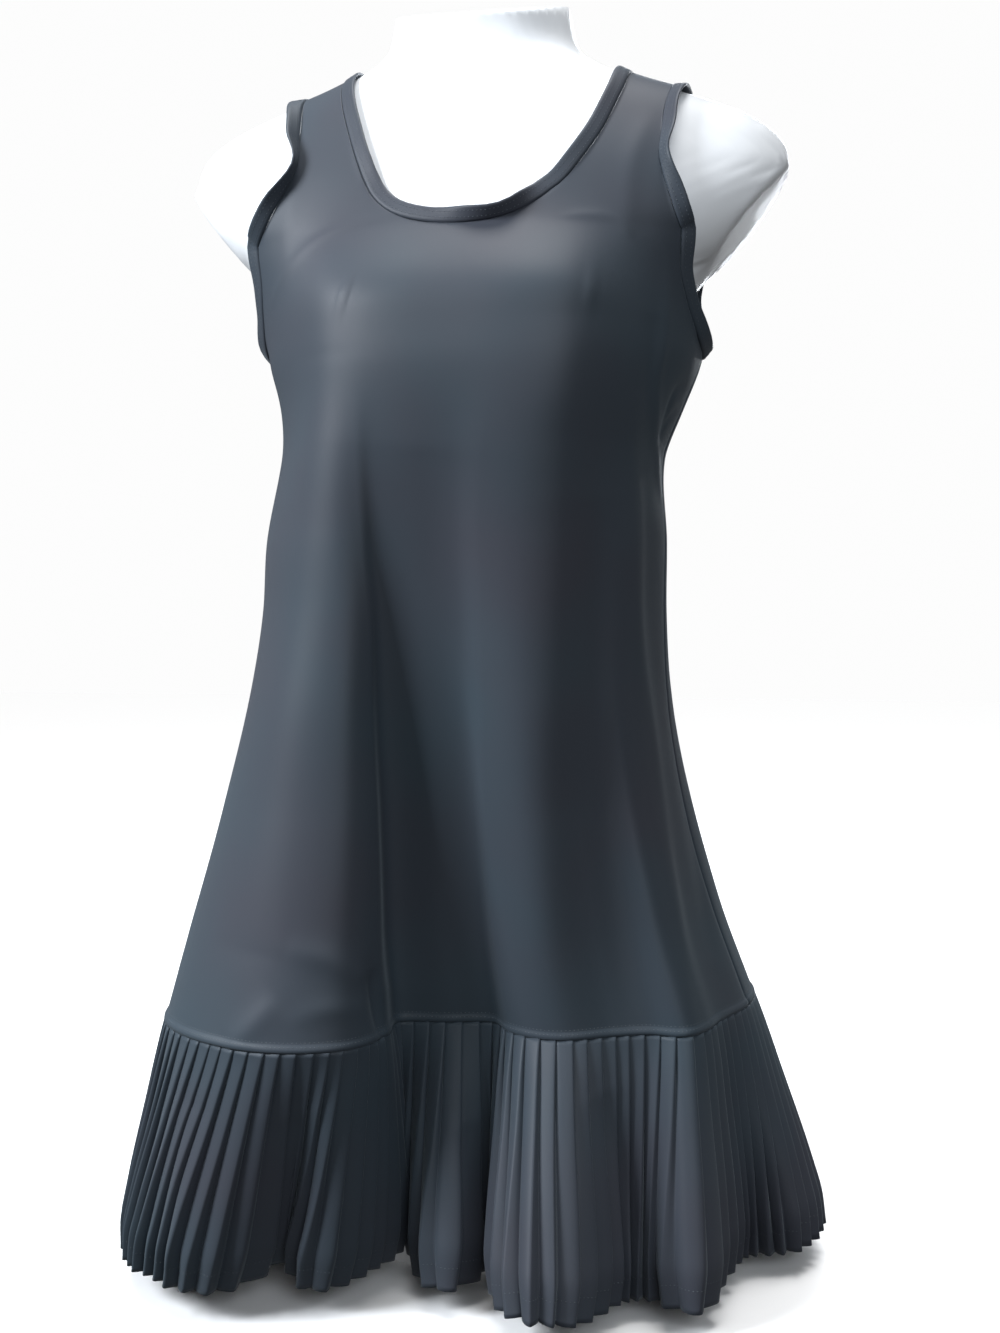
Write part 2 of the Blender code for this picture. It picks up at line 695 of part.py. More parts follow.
def dress_form():
    rings = [form_ring(section.height) for section in FORM]
    for point in rings[-1]:
        point[2] += NECK_SLANT * point[1]
    count = len(rings[0])
    points = [point for ring in rings for point in ring]
    faces = []
    for level in range(len(rings) - 1):
        for k in range(count):
            a, b = level * count + k, level * count + (k + 1) % count
            faces.append((a, b, b + count, a + count))
    faces.append(tuple(range(count - 1, -1, -1)))
    faces.append(tuple(range(len(points) - count, len(points))))
    make_object("dress_form", points, faces, "white_plastic", FORM_SMOOTH)


def start():
    for thing in list(bpy.data.objects):
        bpy.data.objects.remove(thing, do_unlink=True)
    collection = bpy.data.collections.new("tennis_dress")
    bpy.context.scene.collection.children.link(collection)
    for name, (colour, roughness) in FINISHES.items():
        material = bpy.data.materials.new(name)
        material.use_nodes = True
        shader = material.node_tree.nodes["Principled BSDF"]
        shader.inputs["Base Color"].default_value = colour
        shader.inputs["Roughness"].default_value = roughness
        shader.inputs["Metallic"].default_value = 0.0


def main():
    start()
    dress_form()
    front = Panel(-1, FRONT_COLUMNS, NECK_FRONT, ARMHOLE_FRONT, 0)
    back = Panel(1, BACK_COLUMNS, NECK_BACK, ARMHOLE_BACK, BACK_YOKE_ROWS)
    front.solid("front_body", "jersey", CLOTH)
    back.solid("back_body", "jersey", CLOTH)
    bindings(front, back)
    flounces()


main()
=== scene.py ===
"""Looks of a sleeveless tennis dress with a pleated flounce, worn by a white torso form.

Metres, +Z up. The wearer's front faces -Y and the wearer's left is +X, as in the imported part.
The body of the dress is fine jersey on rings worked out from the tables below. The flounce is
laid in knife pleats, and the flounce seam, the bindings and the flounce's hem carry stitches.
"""
import math
from collections import namedtuple

import bpy
import numpy as np
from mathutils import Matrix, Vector


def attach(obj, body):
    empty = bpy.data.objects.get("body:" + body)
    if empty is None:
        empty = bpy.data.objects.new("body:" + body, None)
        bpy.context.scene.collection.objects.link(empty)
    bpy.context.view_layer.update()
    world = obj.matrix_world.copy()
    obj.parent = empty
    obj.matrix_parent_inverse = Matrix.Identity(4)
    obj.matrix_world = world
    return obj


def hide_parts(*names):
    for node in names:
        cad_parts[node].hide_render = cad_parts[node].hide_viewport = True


bl_info = {
    "name": "Pleated Tennis Dress",
    "version": (1, 0, 0),
    "blender": (4, 5, 0),
    "location": "View3D > Sidebar > Tennis Dress",
    "description": "Builds a sleeveless jersey tennis dress with a knife-pleated flounce on a torso form",
    "category": "Add Mesh",
}

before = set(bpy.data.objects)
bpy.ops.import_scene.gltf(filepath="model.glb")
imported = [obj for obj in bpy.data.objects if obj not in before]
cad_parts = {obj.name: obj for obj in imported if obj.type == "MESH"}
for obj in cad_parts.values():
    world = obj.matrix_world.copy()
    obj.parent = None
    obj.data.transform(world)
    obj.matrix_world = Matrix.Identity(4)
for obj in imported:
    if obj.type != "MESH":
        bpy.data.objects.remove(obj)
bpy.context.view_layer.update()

MM = 0.001

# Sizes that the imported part's solids share
BINDING_WIDTH = 10.5 * MM
SEAM_GAP = 0.3 * MM
SHOULDER_REST = 1.2 * MM
SPLIT_HEIGHT = 0.694
FLOUNCE_SEAM = 0.180
FLOUNCE_DROP = 0.166
PLEATS_FRONT = 60
PLEATS_BACK = 58
FOLD_TOP = 0.61
FOLD_GROWTH = 1.15
BACK_NECK_HEIGHT = 0.757
STRAP_SHIFT = 7 * MM
STRAP_SHIFT_RISE = 0.4
NECK_LIFT = 1.0 * MM
ARMHOLE_LIFT = 1.5 * MM
CENTRE = np.array((6.4 * MM, -9.7 * MM, 0.0))

# The torso form by height, which the dress follows at the shoulders
Section = namedtuple("Section", "height half_width side_y front back power")
FORM = (
    Section(0.645, 0.135, 0.004, 0.112, 0.090, 2.2),
    Section(0.670, 0.147, 0.007, 0.110, 0.094, 2.2),
    Section(0.685, 0.162, 0.009, 0.107, 0.095, 2.2),
    Section(SPLIT_HEIGHT, 0.175, 0.010, 0.104, 0.095, 2.2),
    Section(0.712, 0.198, 0.011, 0.0965, 0.093, 2.2),
    Section(0.730, 0.209, 0.012, 0.091, 0.089, 2.2),
    Section(0.747, 0.212, 0.012, 0.085, 0.083, 2.1),
    Section(0.765, 0.208, 0.012, 0.077, 0.075, 2.0),
    Section(0.778, 0.194, 0.012, 0.071, 0.068, 2.0),
    Section(0.787, 0.176, 0.012, 0.067, 0.063, 2.0),
    Section(0.796, 0.149, 0.011, 0.063, 0.059, 2.0),
    Section(0.805, 0.120, 0.010, 0.060, 0.055, 2.0),
    Section(0.815, 0.094, 0.009, 0.057, 0.052, 2.0),
    Section(0.825, 0.075, 0.008, 0.055, 0.050, 2.0),
    Section(0.835, 0.065, 0.007, 0.055, 0.050, 2.0),
    Section(0.862, 0.060, 0.004, 0.054, 0.050, 2.0),
)
SPLIT = FORM[3]
SHOULDER_LOW = 0.765
SHOULDER_HIGH = 0.845

# The plain dress without its folds, inner face, below the split height
Ring = namedtuple("Ring", "height centre_x half_width side_y front back power")
DRESS = (
    Ring(0.180, -0.010, 0.204, 0.000, 0.150, 0.150, 2.0),
    Ring(0.250, -0.013, 0.181, 0.000, 0.143, 0.136, 2.0),
    Ring(0.320, -0.013, 0.161, 0.000, 0.138, 0.123, 2.0),
    Ring(0.400, -0.011, 0.143, 0.000, 0.134, 0.110, 2.1),
    Ring(0.450, -0.009, 0.1375, 0.000, 0.131, 0.104, 2.1),
    Ring(0.500, -0.008, 0.136, 0.000, 0.128, 0.100, 2.1),
    Ring(0.555, -0.004, 0.1295, 0.000, 0.125, 0.098, 2.2),
    Ring(0.590, 0.001, 0.137, 0.001, 0.123, 0.098, 2.2),
    Ring(0.6215, 0.002, 0.148, 0.003, 0.121, 0.099, 2.2),
    Ring(0.650, 0.001, 0.1525, 0.005, 0.119, 0.100, 2.2),
    Ring(0.675, 0.000, 0.162, 0.008, 0.113, 0.099, 2.2),
    Ring(SPLIT_HEIGHT, 0.000, SPLIT.half_width + SHOULDER_REST, SPLIT.side_y,
         SPLIT.front + SHOULDER_REST, SPLIT.back + SHOULDER_REST, SPLIT.power),
)

# Bust: the cloth hangs from the tips of two soft mounds
BUST_X = 0.072
BUST_HEIGHT = 0.645
BUST_RADIUS_X = 0.034
BUST_RADIUS_UP = 0.034
BUST_FULLNESS = 0.014
CLOTH_HANG_DOWN = 0.16
CLOTH_DIP = 0.3

# Seam and hem rings by fold: place on the body as an angle from the front, then x and y
Fold = namedtuple("Fold", "name angle seam_x seam_y hem_x hem_y")
FOLDS = (
    Fold("left side", -90, -0.206, -0.026, -0.243, -0.004),
    Fold("left lobe, outer edge", -70, -0.192, -0.098, -0.228, -0.074),
    Fold("left lobe, flank", -56, -0.150, -0.136, -0.196, -0.118),
    Fold("left lobe, crest", -43, -0.102, -0.150, -0.140, -0.124),
    Fold("left lobe, hem hollow", -37.3, -0.0818, -0.1467, -0.114, -0.092),
    Fold("left lobe, inner flank", -32, -0.064, -0.138, -0.092, -0.112),
    Fold("left lobe, turn", -24, -0.044, -0.104, -0.058, -0.070),
    Fold("middle recess, start", -17, -0.044, -0.066, -0.044, -0.034),
    Fold("middle recess", -7, -0.012, -0.060, -0.008, -0.100),
    Fold("middle recess, end", 3, 0.020, -0.056, 0.020, -0.052),
    Fold("right lobe, turn", 11, 0.034, -0.076, 0.0425, -0.138),
    Fold("right lobe, crest", 22, 0.066, -0.090, 0.074, -0.150),
    Fold("right lobe, flank", 36, 0.102, -0.076, 0.104, -0.086),
    Fold("right lobe, hollow", 46, 0.124, -0.068, 0.126, -0.082),
    Fold("right ridge", 56, 0.146, -0.068, 0.154, -0.100),
    Fold("right ridge, turn", 63.4, 0.1573, -0.0516, 0.164, -0.052),
    Fold("right recess", 70, 0.164, -0.030, 0.174, -0.014),
    Fold("right side", 90, 0.183, 0.018, 0.218, 0.006),
    Fold("right side lobe", 106, 0.185, 0.064, 0.230, 0.054),
    Fold("back right flank", 124, 0.162, 0.112, 0.200, 0.118),
    Fold("back right lobe", 142, 0.118, 0.150, 0.150, 0.176),
    Fold("back right recess", 160, 0.072, 0.124, 0.086, 0.134),
    Fold("back middle lobe", 180, 0.018, 0.146, 0.020, 0.176),
    Fold("back left recess", 201, -0.046, 0.120, -0.048, 0.130),
    Fold("back left lobe", 219, -0.102, 0.148, -0.126, 0.170),
    Fold("back left flank", 237, -0.158, 0.112, -0.192, 0.122),
    Fold("left side, rear", 254, -0.190, 0.048, -0.228, 0.062),
)
LEFT_SIDE = 0
RIGHT_SIDE = 17

# Where the bindings are sewn on: height above the floor and distance from the middle
Edge = namedtuple("Edge", "height x")
NECK_FRONT = (
    Edge(SPLIT_HEIGHT, 0.000),
    Edge(0.6965, 0.022),
    Edge(0.7025, 0.040),
    Edge(0.716, 0.058),
    Edge(0.738, 0.073),
    Edge(0.765, 0.0855),
    Edge(0.792, 0.0945),
    Edge(0.818, 0.0985),
)
NECK_BACK = (
    Edge(BACK_NECK_HEIGHT, 0.000),
    Edge(0.7590, 0.026),
    Edge(0.7645, 0.046),
    Edge(0.7740, 0.063),
    Edge(0.7870, 0.078),
    Edge(0.8020, 0.091),
    Edge(0.818, 0.0985),
)
Armpit = namedtuple("Armpit", "height angle")
ARMPIT = (
    Armpit(0.6215, 90),
    Armpit(0.628, 81),
    Armpit(0.638, 73.5),
    Armpit(0.650, 67),
    Armpit(0.664, 61),
    Armpit(0.680, 55.5),
)
ARMHOLE_FRONT = (
    Edge(SPLIT_HEIGHT, 0.1385),
    Edge(0.710, 0.1310),
    Edge(0.728, 0.1235),
    Edge(0.748, 0.1195),
    Edge(0.770, 0.1205),
    Edge(0.790, 0.1235),
    Edge(0.806, 0.1255),
)
ARMHOLE_BACK = (
    Edge(SPLIT_HEIGHT, 0.1330),
    Edge(0.710, 0.1230),
    Edge(0.728, 0.1160),
    Edge(0.748, 0.1135),
    Edge(0.770, 0.1160),
    Edge(0.790, 0.1215),
    Edge(0.806, 0.1255),
)

# Looks-only sizes
FRONT_COLUMNS = 216
BACK_COLUMNS = 150
BODY_ROW = 3.0 * MM            # spacing of the cloth's rows up the body
HEM_ROW = 1.0 * MM             # and along the stitched lower edge
HEM_BAND = 13 * MM
STRAP_ROWS = 46
LIP_HEIGHT = 1.8 * MM          # the body's rolled lower edge
LIP_FULLNESS = 1.3 * MM
LIP_WIDTH = 2.2 * MM
STITCH_ROWS = (3.2 * MM, 6.4 * MM)
STITCH_LENGTH = 2.1 * MM
STITCH_PITCH = 2.7 * MM
STITCH_WIDTH = 0.55 * MM
HEM_STITCH_RISE = 16 * MM
SIDE_SEAM_DIP = 0.8 * MM
SIDE_SEAM_WIDTH = 2.5 * MM
FLOUNCE_ROWS_FRONT = 56
FLOUNCE_ROWS_BACK = 40
PLEAT_SEED = 11
RELAX_LOW = 0.56               # the sheets are evened out between these heights
RELAX_HIGH = 0.80
RELAX_FADE = 0.03
RELAX_ROUNDS = 24
RELAX_MARGIN = 4               # rows of faces from an edge over which this fades out
EDGE_SMOOTHING = 12

# One knife pleat across its pitch: share of the pitch and share of the depth, seam and hem
PleatPoint = namedtuple("PleatPoint", "seam_along seam_out hem_along hem_out")
PLEAT = (
    PleatPoint(0.00, 0.00, 0.00, 0.00),
    PleatPoint(0.10, 0.16, 0.09, 0.18),
    PleatPoint(0.30, 0.38, 0.24, 0.46),
    PleatPoint(0.55, 0.64, 0.39, 0.73),
    PleatPoint(0.80, 0.87, 0.51, 0.92),
    PleatPoint(0.96, 0.98, 0.58, 0.99),
    PleatPoint(1.02, 1.00, 0.61, 1.00),
    PleatPoint(1.05, 0.92, 0.65, 0.93),
    PleatPoint(1.04, 0.58, 0.79, 0.55),
    PleatPoint(1.01, 0.22, 0.92, 0.16),
)
# Down the flounce, by share of its drop: depth of the pleats, and how far they bow outwards
PleatDepth = namedtuple("PleatDepth", "height depth bow")
PLEAT_DEPTHS = (
    PleatDepth(0.00, 1.3 * MM, 0.0 * MM),
    PleatDepth(0.06, 2.2 * MM, 0.2 * MM),
    PleatDepth(0.35, 3.8 * MM, 2.2 * MM),
    PleatDepth(0.70, 6.0 * MM, 4.0 * MM),
    PleatDepth(0.82, 6.8 * MM, 4.0 * MM),
    PleatDepth(1.00, 7.4 * MM, 0.0 * MM),
)

# Folds of the worn cloth, in metres on the unmoved dress: width, then how far it stands out
Crease = namedtuple("Crease", "name width rise path")
CREASES = (
    Crease("left lobe, from the bust down", 0.020, 0.0050, (
        (-0.078, -0.113, 0.620), (-0.082, -0.112, 0.510), (-0.090, -0.110, 0.430),
        (-0.108, -0.117, 0.330), (-0.122, -0.134, 0.230))),
    Crease("middle, left side", 0.022, -0.0055, (
        (-0.013, -0.120, 0.560), (-0.023, -0.104, 0.446), (-0.032, -0.088, 0.356),
        (-0.041, -0.077, 0.276), (-0.045, -0.091, 0.200))),
    Crease("right lobe, from the bust down", 0.018, 0.0060, (
        (0.072, -0.122, 0.640), (0.071, -0.115, 0.550), (0.067, -0.104, 0.458),
        (0.060, -0.098, 0.359), (0.056, -0.094, 0.269), (0.053, -0.088, 0.170))),
    Crease("right of the right lobe", 0.016, -0.0050, (
        (0.086, -0.090, 0.530), (0.095, -0.077, 0.408), (0.101, -0.072, 0.318),
        (0.105, -0.072, 0.241), (0.107, -0.074, 0.170))),
    Crease("side ridge", 0.009, 0.0032, (
        (0.110, -0.081, 0.600), (0.110, -0.063, 0.535), (0.113, -0.055, 0.459),
        (0.124, -0.036, 0.353), (0.139, -0.046, 0.263), (0.147, -0.068, 0.170))),
    Crease("front fold edge under the arm", 0.0035, 0.0018, (
        (0.133, -0.064, 0.672), (0.131, -0.065, 0.643), (0.127, -0.066, 0.605),
        (0.123, -0.045, 0.570), (0.123, -0.025, 0.552), (0.125, -0.006, 0.520))),
    Crease("beside the fold edge", 0.006, -0.0016, (
        (0.124, -0.074, 0.640), (0.121, -0.072, 0.605), (0.118, -0.058, 0.575))),
    Crease("under the right arm, upper", 0.0028, -0.0016, (
        (0.146, -0.020, 0.600), (0.134, -0.038, 0.592), (0.124, -0.031, 0.564))),
    Crease("under the right arm, lower", 0.0026, -0.0012, (
        (0.142, -0.010, 0.588), (0.130, -0.028, 0.577), (0.126, -0.030, 0.560))),
    Crease("right strap", 0.006, 0.0012, (
        (0.119, -0.051, 0.769), (0.108, -0.071, 0.729), (0.106, -0.081, 0.680))),
    Crease("left strap", 0.007, 0.0010, (
        (-0.108, -0.055, 0.770), (-0.114, -0.072, 0.715), (-0.117, -0.080, 0.670))),
    Crease("edge of the top under it, left", 0.0024, 0.0006, (
        (-0.042, -0.091, 0.703), (-0.085, -0.088, 0.693), (-0.110, -0.082, 0.676),
        (-0.124, -0.072, 0.662), (-0.130, -0.064, 0.653))),
    Crease("edge of the top under it, right", 0.0024, 0.0006, (
        (0.067, -0.090, 0.698), (0.097, -0.082, 0.697), (0.112, -0.079, 0.684))),
    Crease("left tip", 0.007, 0.0009, ((-0.069, -0.118, 0.649), (-0.060, -0.119, 0.647))),
    Crease("right tip", 0.007, 0.0009, ((0.083, -0.110, 0.648), (0.092, -0.107, 0.646))),
    Crease("pucker at the left lobe's turn", 0.0045, -0.0050, (
        (-0.049, -0.115, 0.226), (-0.046, -0.111, 0.203), (-0.043, -0.104, 0.176))),
    Crease("drag to the pucker, upper", 0.006, 0.0016, (
        (-0.052, -0.120, 0.219), (-0.070, -0.136, 0.235), (-0.098, -0.140, 0.242))),
    Crease("drag to the pucker, lower", 0.005, 0.0012, (
        (-0.050, -0.118, 0.203), (-0.072, -0.139, 0.205), (-0.094, -0.146, 0.199))),
    Crease("drag over the left lobe", 0.006, 0.0022, (
        (-0.133, -0.144, 0.180), (-0.118, -0.147, 0.194), (-0.100, -0.146, 0.212))),
    Crease("left side, upper", 0.012, 0.0030, (
        (-0.135, -0.030, 0.560), (-0.146, -0.030, 0.450), (-0.165, -0.040, 0.330),
        (-0.185, -0.060, 0.220))),
    Crease("right side, behind the recess", 0.012, -0.0030, (
        (0.140, 0.010, 0.400), (0.152, 0.008, 0.300), (0.160, -0.012, 0.210))),
    Crease("flounce, between the left lobes", 0.010, -0.0040, (
        (-0.089, -0.136, 0.141), (-0.086, -0.127, 0.100), (-0.100, -0.115, 0.040))),
    Crease("flounce, middle", 0.009, -0.0040, (
        (0.000, -0.070, 0.118), (0.010, -0.068, 0.078), (0.014, -0.059, 0.030))),
    Crease("flounce, right lobe", 0.009, -0.0035, (
        (0.093, -0.089, 0.149), (0.106, -0.083, 0.090), (0.113, -0.083, 0.030))),
    Crease("flounce, left flank", 0.009, 0.0035, (
        (-0.159, -0.135, 0.143), (-0.166, -0.135, 0.091), (-0.173, -0.133, 0.030))),
    Crease("back, left blade down", 0.020, 0.0045, (
        (-0.070, 0.096, 0.640), (-0.076, 0.105, 0.500), (-0.090, 0.125, 0.340),
        (-0.100, 0.148, 0.190))),
    Crease("back, hollow of the back", 0.020, -0.0050, (
        (-0.020, 0.100, 0.560), (-0.030, 0.108, 0.420), (-0.044, 0.116, 0.280),
        (-0.046, 0.120, 0.180))),
    Crease("back, middle", 0.015, 0.0040, (
        (0.010, 0.100, 0.520), (0.016, 0.122, 0.360), (0.018, 0.142, 0.200))),
    Crease("back, right blade down", 0.018, 0.0045, (
        (0.070, 0.096, 0.630), (0.082, 0.108, 0.480), (0.104, 0.130, 0.320),
        (0.118, 0.148, 0.190))),
    Crease("back, drag at the waist", 0.007, 0.0014, (
        (-0.095, 0.080, 0.545), (-0.060, 0.094, 0.525), (-0.020, 0.099, 0.515))),
    Crease("back, drag to the right arm", 0.006, 0.0014, (
        (0.120, 0.050, 0.610), (0.095, 0.075, 0.585), (0.060, 0.092, 0.570))),
    Crease("back strap, left", 0.006, 0.0010, (
        (-0.108, 0.060, 0.770), (-0.104, 0.078, 0.730), (-0.096, 0.087, 0.690))),
    Crease("back strap, right", 0.006, 0.0010, (
        (0.112, 0.060, 0.770), (0.110, 0.078, 0.730), (0.100, 0.087, 0.690))),
)


class Track:
    """A smooth line through a table's column, closed when it has a period."""

    def __init__(self, knots, values, period=None, climb=0.0):
        knots = list(knots)
        values = list(values)
        if period is not None:
            knots = [knots[-1] - period] + knots + [knots[0] + period, knots[1] + period]
            values = [values[-1] - climb] + values + [values[0] + climb, values[1] + climb]
        self.period = period
        self.climb = climb
        self.knots = np.array(knots)
        self.values = np.array(values)
        self.slopes = self._slopes()

    def _slopes(self):
        steps = np.diff(self.knots)
        rises = np.diff(self.values) / steps
        slopes = [rises[0]]
        for before, after, left, right in zip(rises, rises[1:], steps, steps[1:]):
            if self.period is None and before * after <= 0:
                slopes.append(0.0)
            else:
                slopes.append((before * right + after * left) / (left + right))
        slopes.append(rises[-1])
        return np.array(slopes)

    def __call__(self, at):
        at = np.asarray(at, dtype=float)
        turns = 0.0
        if self.period is not None:
            turns = np.floor((at - self.knots[1]) / self.period)
            at = at - turns * self.period
        at = np.clip(at, self.knots[0], self.knots[-1])
        k = np.searchsorted(self.knots, at, side="right") - 1
        k = np.clip(k, 0, len(self.knots) - 2)
        step = self.knots[k + 1] - self.knots[k]
        t = (at - self.knots[k]) / step
        start = (1 + 2 * t) * (1 - t) ** 2 * self.values[k]
        start = start + t * (1 - t) ** 2 * step * self.slopes[k]
        end = t * t * (3 - 2 * t) * self.values[k + 1]
        end = end + t * t * (t - 1) * step * self.slopes[k + 1]
        return start + end + turns * self.climb


def tracks(rows):
    """One Track for each column of a table, along its height column."""
    heights = [row.height for row in rows]
    names = [name for name in rows[0]._fields if name != "height"]
    return {name: Track(heights, [getattr(row, name) for row in rows]) for name in names}


form_at = tracks(FORM)
dress_at = tracks(DRESS)
pleats_at = tracks(PLEAT_DEPTHS)
armpit_angle_at = Track([a.height for a in ARMPIT] + [SPLIT_HEIGHT],
                        [math.radians(a.angle) for a in ARMPIT] + [math.radians(50.5)])


def triple(x, y, z):
    """Points from three arrays, or numbers, that fit each other."""
    return np.stack(np.broadcast_arrays(x, y, z), axis=-1).astype(float)


def superellipse_y(share, power):
    return np.maximum(0.0, 1.0 - np.minimum(np.abs(share), 1.0) ** power) ** (1.0 / power)


def cloth_bust(x, height):
    """How far the cloth stands out over the mounds, which it bridges and hangs from."""
    fall = np.where(height < BUST_HEIGHT, CLOTH_HANG_DOWN, BUST_RADIUS_UP)
    profile = np.exp(-((height - BUST_HEIGHT) / fall) ** 2)
    beyond = np.maximum(np.abs(x) - BUST_X, 0.0) / BUST_RADIUS_X
    dip = CLOTH_DIP * np.cos(np.minimum(np.abs(x) / BUST_X, 1.0) * math.pi / 2) ** 2
    return BUST_FULLNESS * profile * np.exp(-beyond ** 2) * (1 - dip)


def ridge_height(x):
    """Height of the shoulders' top line at a distance from the middle."""
    low = np.full(np.shape(x), SHOULDER_LOW)
    high = np.full(np.shape(x), SHOULDER_HIGH)
    for _ in range(30):
        middle = 0.5 * (low + high)
        wider = form_at["half_width"](middle) > np.abs(x)
        low = np.where(wider, middle, low)
        high = np.where(wider, high, middle)
    return 0.5 * (low + high)


def shoulder_point(side, x, rise):
    """A point of the cloth above the split: rise 0 at the split, 1 on the shoulder's ridge."""
    x = x + STRAP_SHIFT * np.sin(np.minimum(rise / STRAP_SHIFT_RISE, 1.0) * math.pi / 2)
    top = ridge_height(np.maximum(np.abs(x) - SHOULDER_REST, 0.0))
    height = SPLIT_HEIGHT + (top - SPLIT_HEIGHT) * np.sin(rise * math.pi / 2)
    width = form_at["half_width"](height) + SHOULDER_REST
    depth = form_at["front" if side < 0 else "back"](height) + SHOULDER_REST
    y = side * depth * superellipse_y(x / width, form_at["power"](height))
    y = y + form_at["side_y"](height)
    if side < 0:
        y = y - cloth_bust(x, height)
    return triple(x, y, height + SHOULDER_REST * rise)


def rise_of(x, height):
    """The rise at which the cloth above the split reaches a height."""
    share = (height - SPLIT_HEIGHT) / (ridge_height(x) - SPLIT_HEIGHT)
    return float(np.arcsin(np.clip(share, 0.0, 1.0)) * 2 / math.pi)


def ring_point(angle, height):
    """A point of the plain dress, by its angle from the front and its height."""
    power = dress_at["power"](height)
    sine = np.sin(angle)
    cosine = np.cos(angle)
    x = dress_at["half_width"](height) * np.sign(sine) * np.abs(sine) ** (2 / power)
    depth = np.where(cosine > 0, dress_at["front"](height), dress_at["back"](height))
    y = dress_at["side_y"](height) - depth * np.sign(cosine) * np.abs(cosine) ** (2 / power)
    y = y - cloth_bust(x, height) * np.maximum(cosine, 0.0) ** 0.5
    return triple(x + dress_at["centre_x"](height), y, height)


def fold_tracks():
    """The folds' columns as closed lines along the seam ring."""
    knots = [0.0]
    for fold, after in zip(FOLDS, FOLDS[1:] + FOLDS[:1]):
        knots.append(knots[-1] + math.hypot(after.seam_x - fold.seam_x, after.seam_y - fold.seam_y))
    length = knots.pop()
    angles = [math.radians(fold.angle) for fold in FOLDS]
    lines = {"angle": Track(knots, angles, length, 2 * math.pi)}
    for name in ("seam_x", "seam_y", "hem_x", "hem_y"):
        lines[name] = Track(knots, [getattr(fold, name) for fold in FOLDS], length)
    return lines, knots, length


fold_at, FOLD_KNOTS, SEAM_LENGTH = fold_tracks()
U_LEFT = FOLD_KNOTS[LEFT_SIDE]
U_RIGHT = FOLD_KNOTS[RIGHT_SIDE]


def dress_point(u, height):
    """A point of the dress below the folds' top, by its place along the seam ring."""
    angle = fold_at["angle"](u)
    share = np.maximum(0.0, (FOLD_TOP - height) / (FOLD_TOP - FLOUNCE_SEAM))
    weight = np.asarray(share ** FOLD_GROWTH)[..., None]
    seam = triple(fold_at["seam_x"](u), fold_at["seam_y"](u), FLOUNCE_SEAM)
    return ring_point(angle, height) + weight * (seam - ring_point(angle, FLOUNCE_SEAM))


def flounce_point(u, share):
    """A point on the pleats' middle line: share 0 at the seam, 1 at the hem."""
    seam_x, seam_y = fold_at["seam_x"](u), fold_at["seam_y"](u)
    reach_x = fold_at["hem_x"](u) - seam_x
    reach_y = fold_at["hem_y"](u) - seam_y
    fall = np.sqrt(FLOUNCE_DROP ** 2 - reach_x ** 2 - reach_y ** 2)
    return triple(seam_x + reach_x * share, seam_y + reach_y * share, FLOUNCE_SEAM - fall * share)


def place_of(angle, low, high):
    """The place along the seam ring whose line meets the body at an angle."""
    for _ in range(40):
        middle = 0.5 * (low + high)
        if fold_at["angle"](middle) < angle:
            low = middle
        else:
            high = middle
    return 0.5 * (low + high)


def unit(vectors):
    return vectors / np.linalg.norm(vectors, axis=-1, keepdims=True)


def distance_to(points, path):
    """Distance of many points from a line of points, and how far along it they are, 0 to 1."""
    path = np.array(path)
    steps = np.linalg.norm(np.diff(path, axis=0), axis=1)
    before = np.concatenate(([0.0], np.cumsum(steps)))
    nearest = np.full(len(points), np.inf)
    along = np.zeros(len(points))
    for k, (start, end) in enumerate(zip(path, path[1:])):
        way = end - start
        t = np.clip((points - start) @ way / (way @ way), 0.0, 1.0)
        gap = np.linalg.norm(points - start - t[:, None] * way, axis=1)
        closer = gap < nearest
        nearest = np.where(closer, gap, nearest)
        along = np.where(closer, (before[k] + t * steps[k]) / before[-1], along)
    return nearest, along


def smooth_path(path, pieces=6):
    """More points on one smooth line through a crease's own points."""
    path = np.array(path)
    knots = np.arange(len(path))
    fine = np.linspace(0, len(path) - 1, (len(path) - 1) * pieces + 1)
    return np.stack([Track(knots, path[:, axis])(fine) for axis in range(3)], axis=-1)


def relief(points, creases):
    """How far each point stands out because of the creases near it."""
    out = np.zeros(len(points))
    for crease in creases:
        gap, along = distance_to(points, smooth_path(crease.path))
        fade = np.sin(np.pi * np.clip(along, 0.02, 0.98)) ** 0.6
        out += crease.rise * fade / np.cosh(gap / crease.width)
    return out


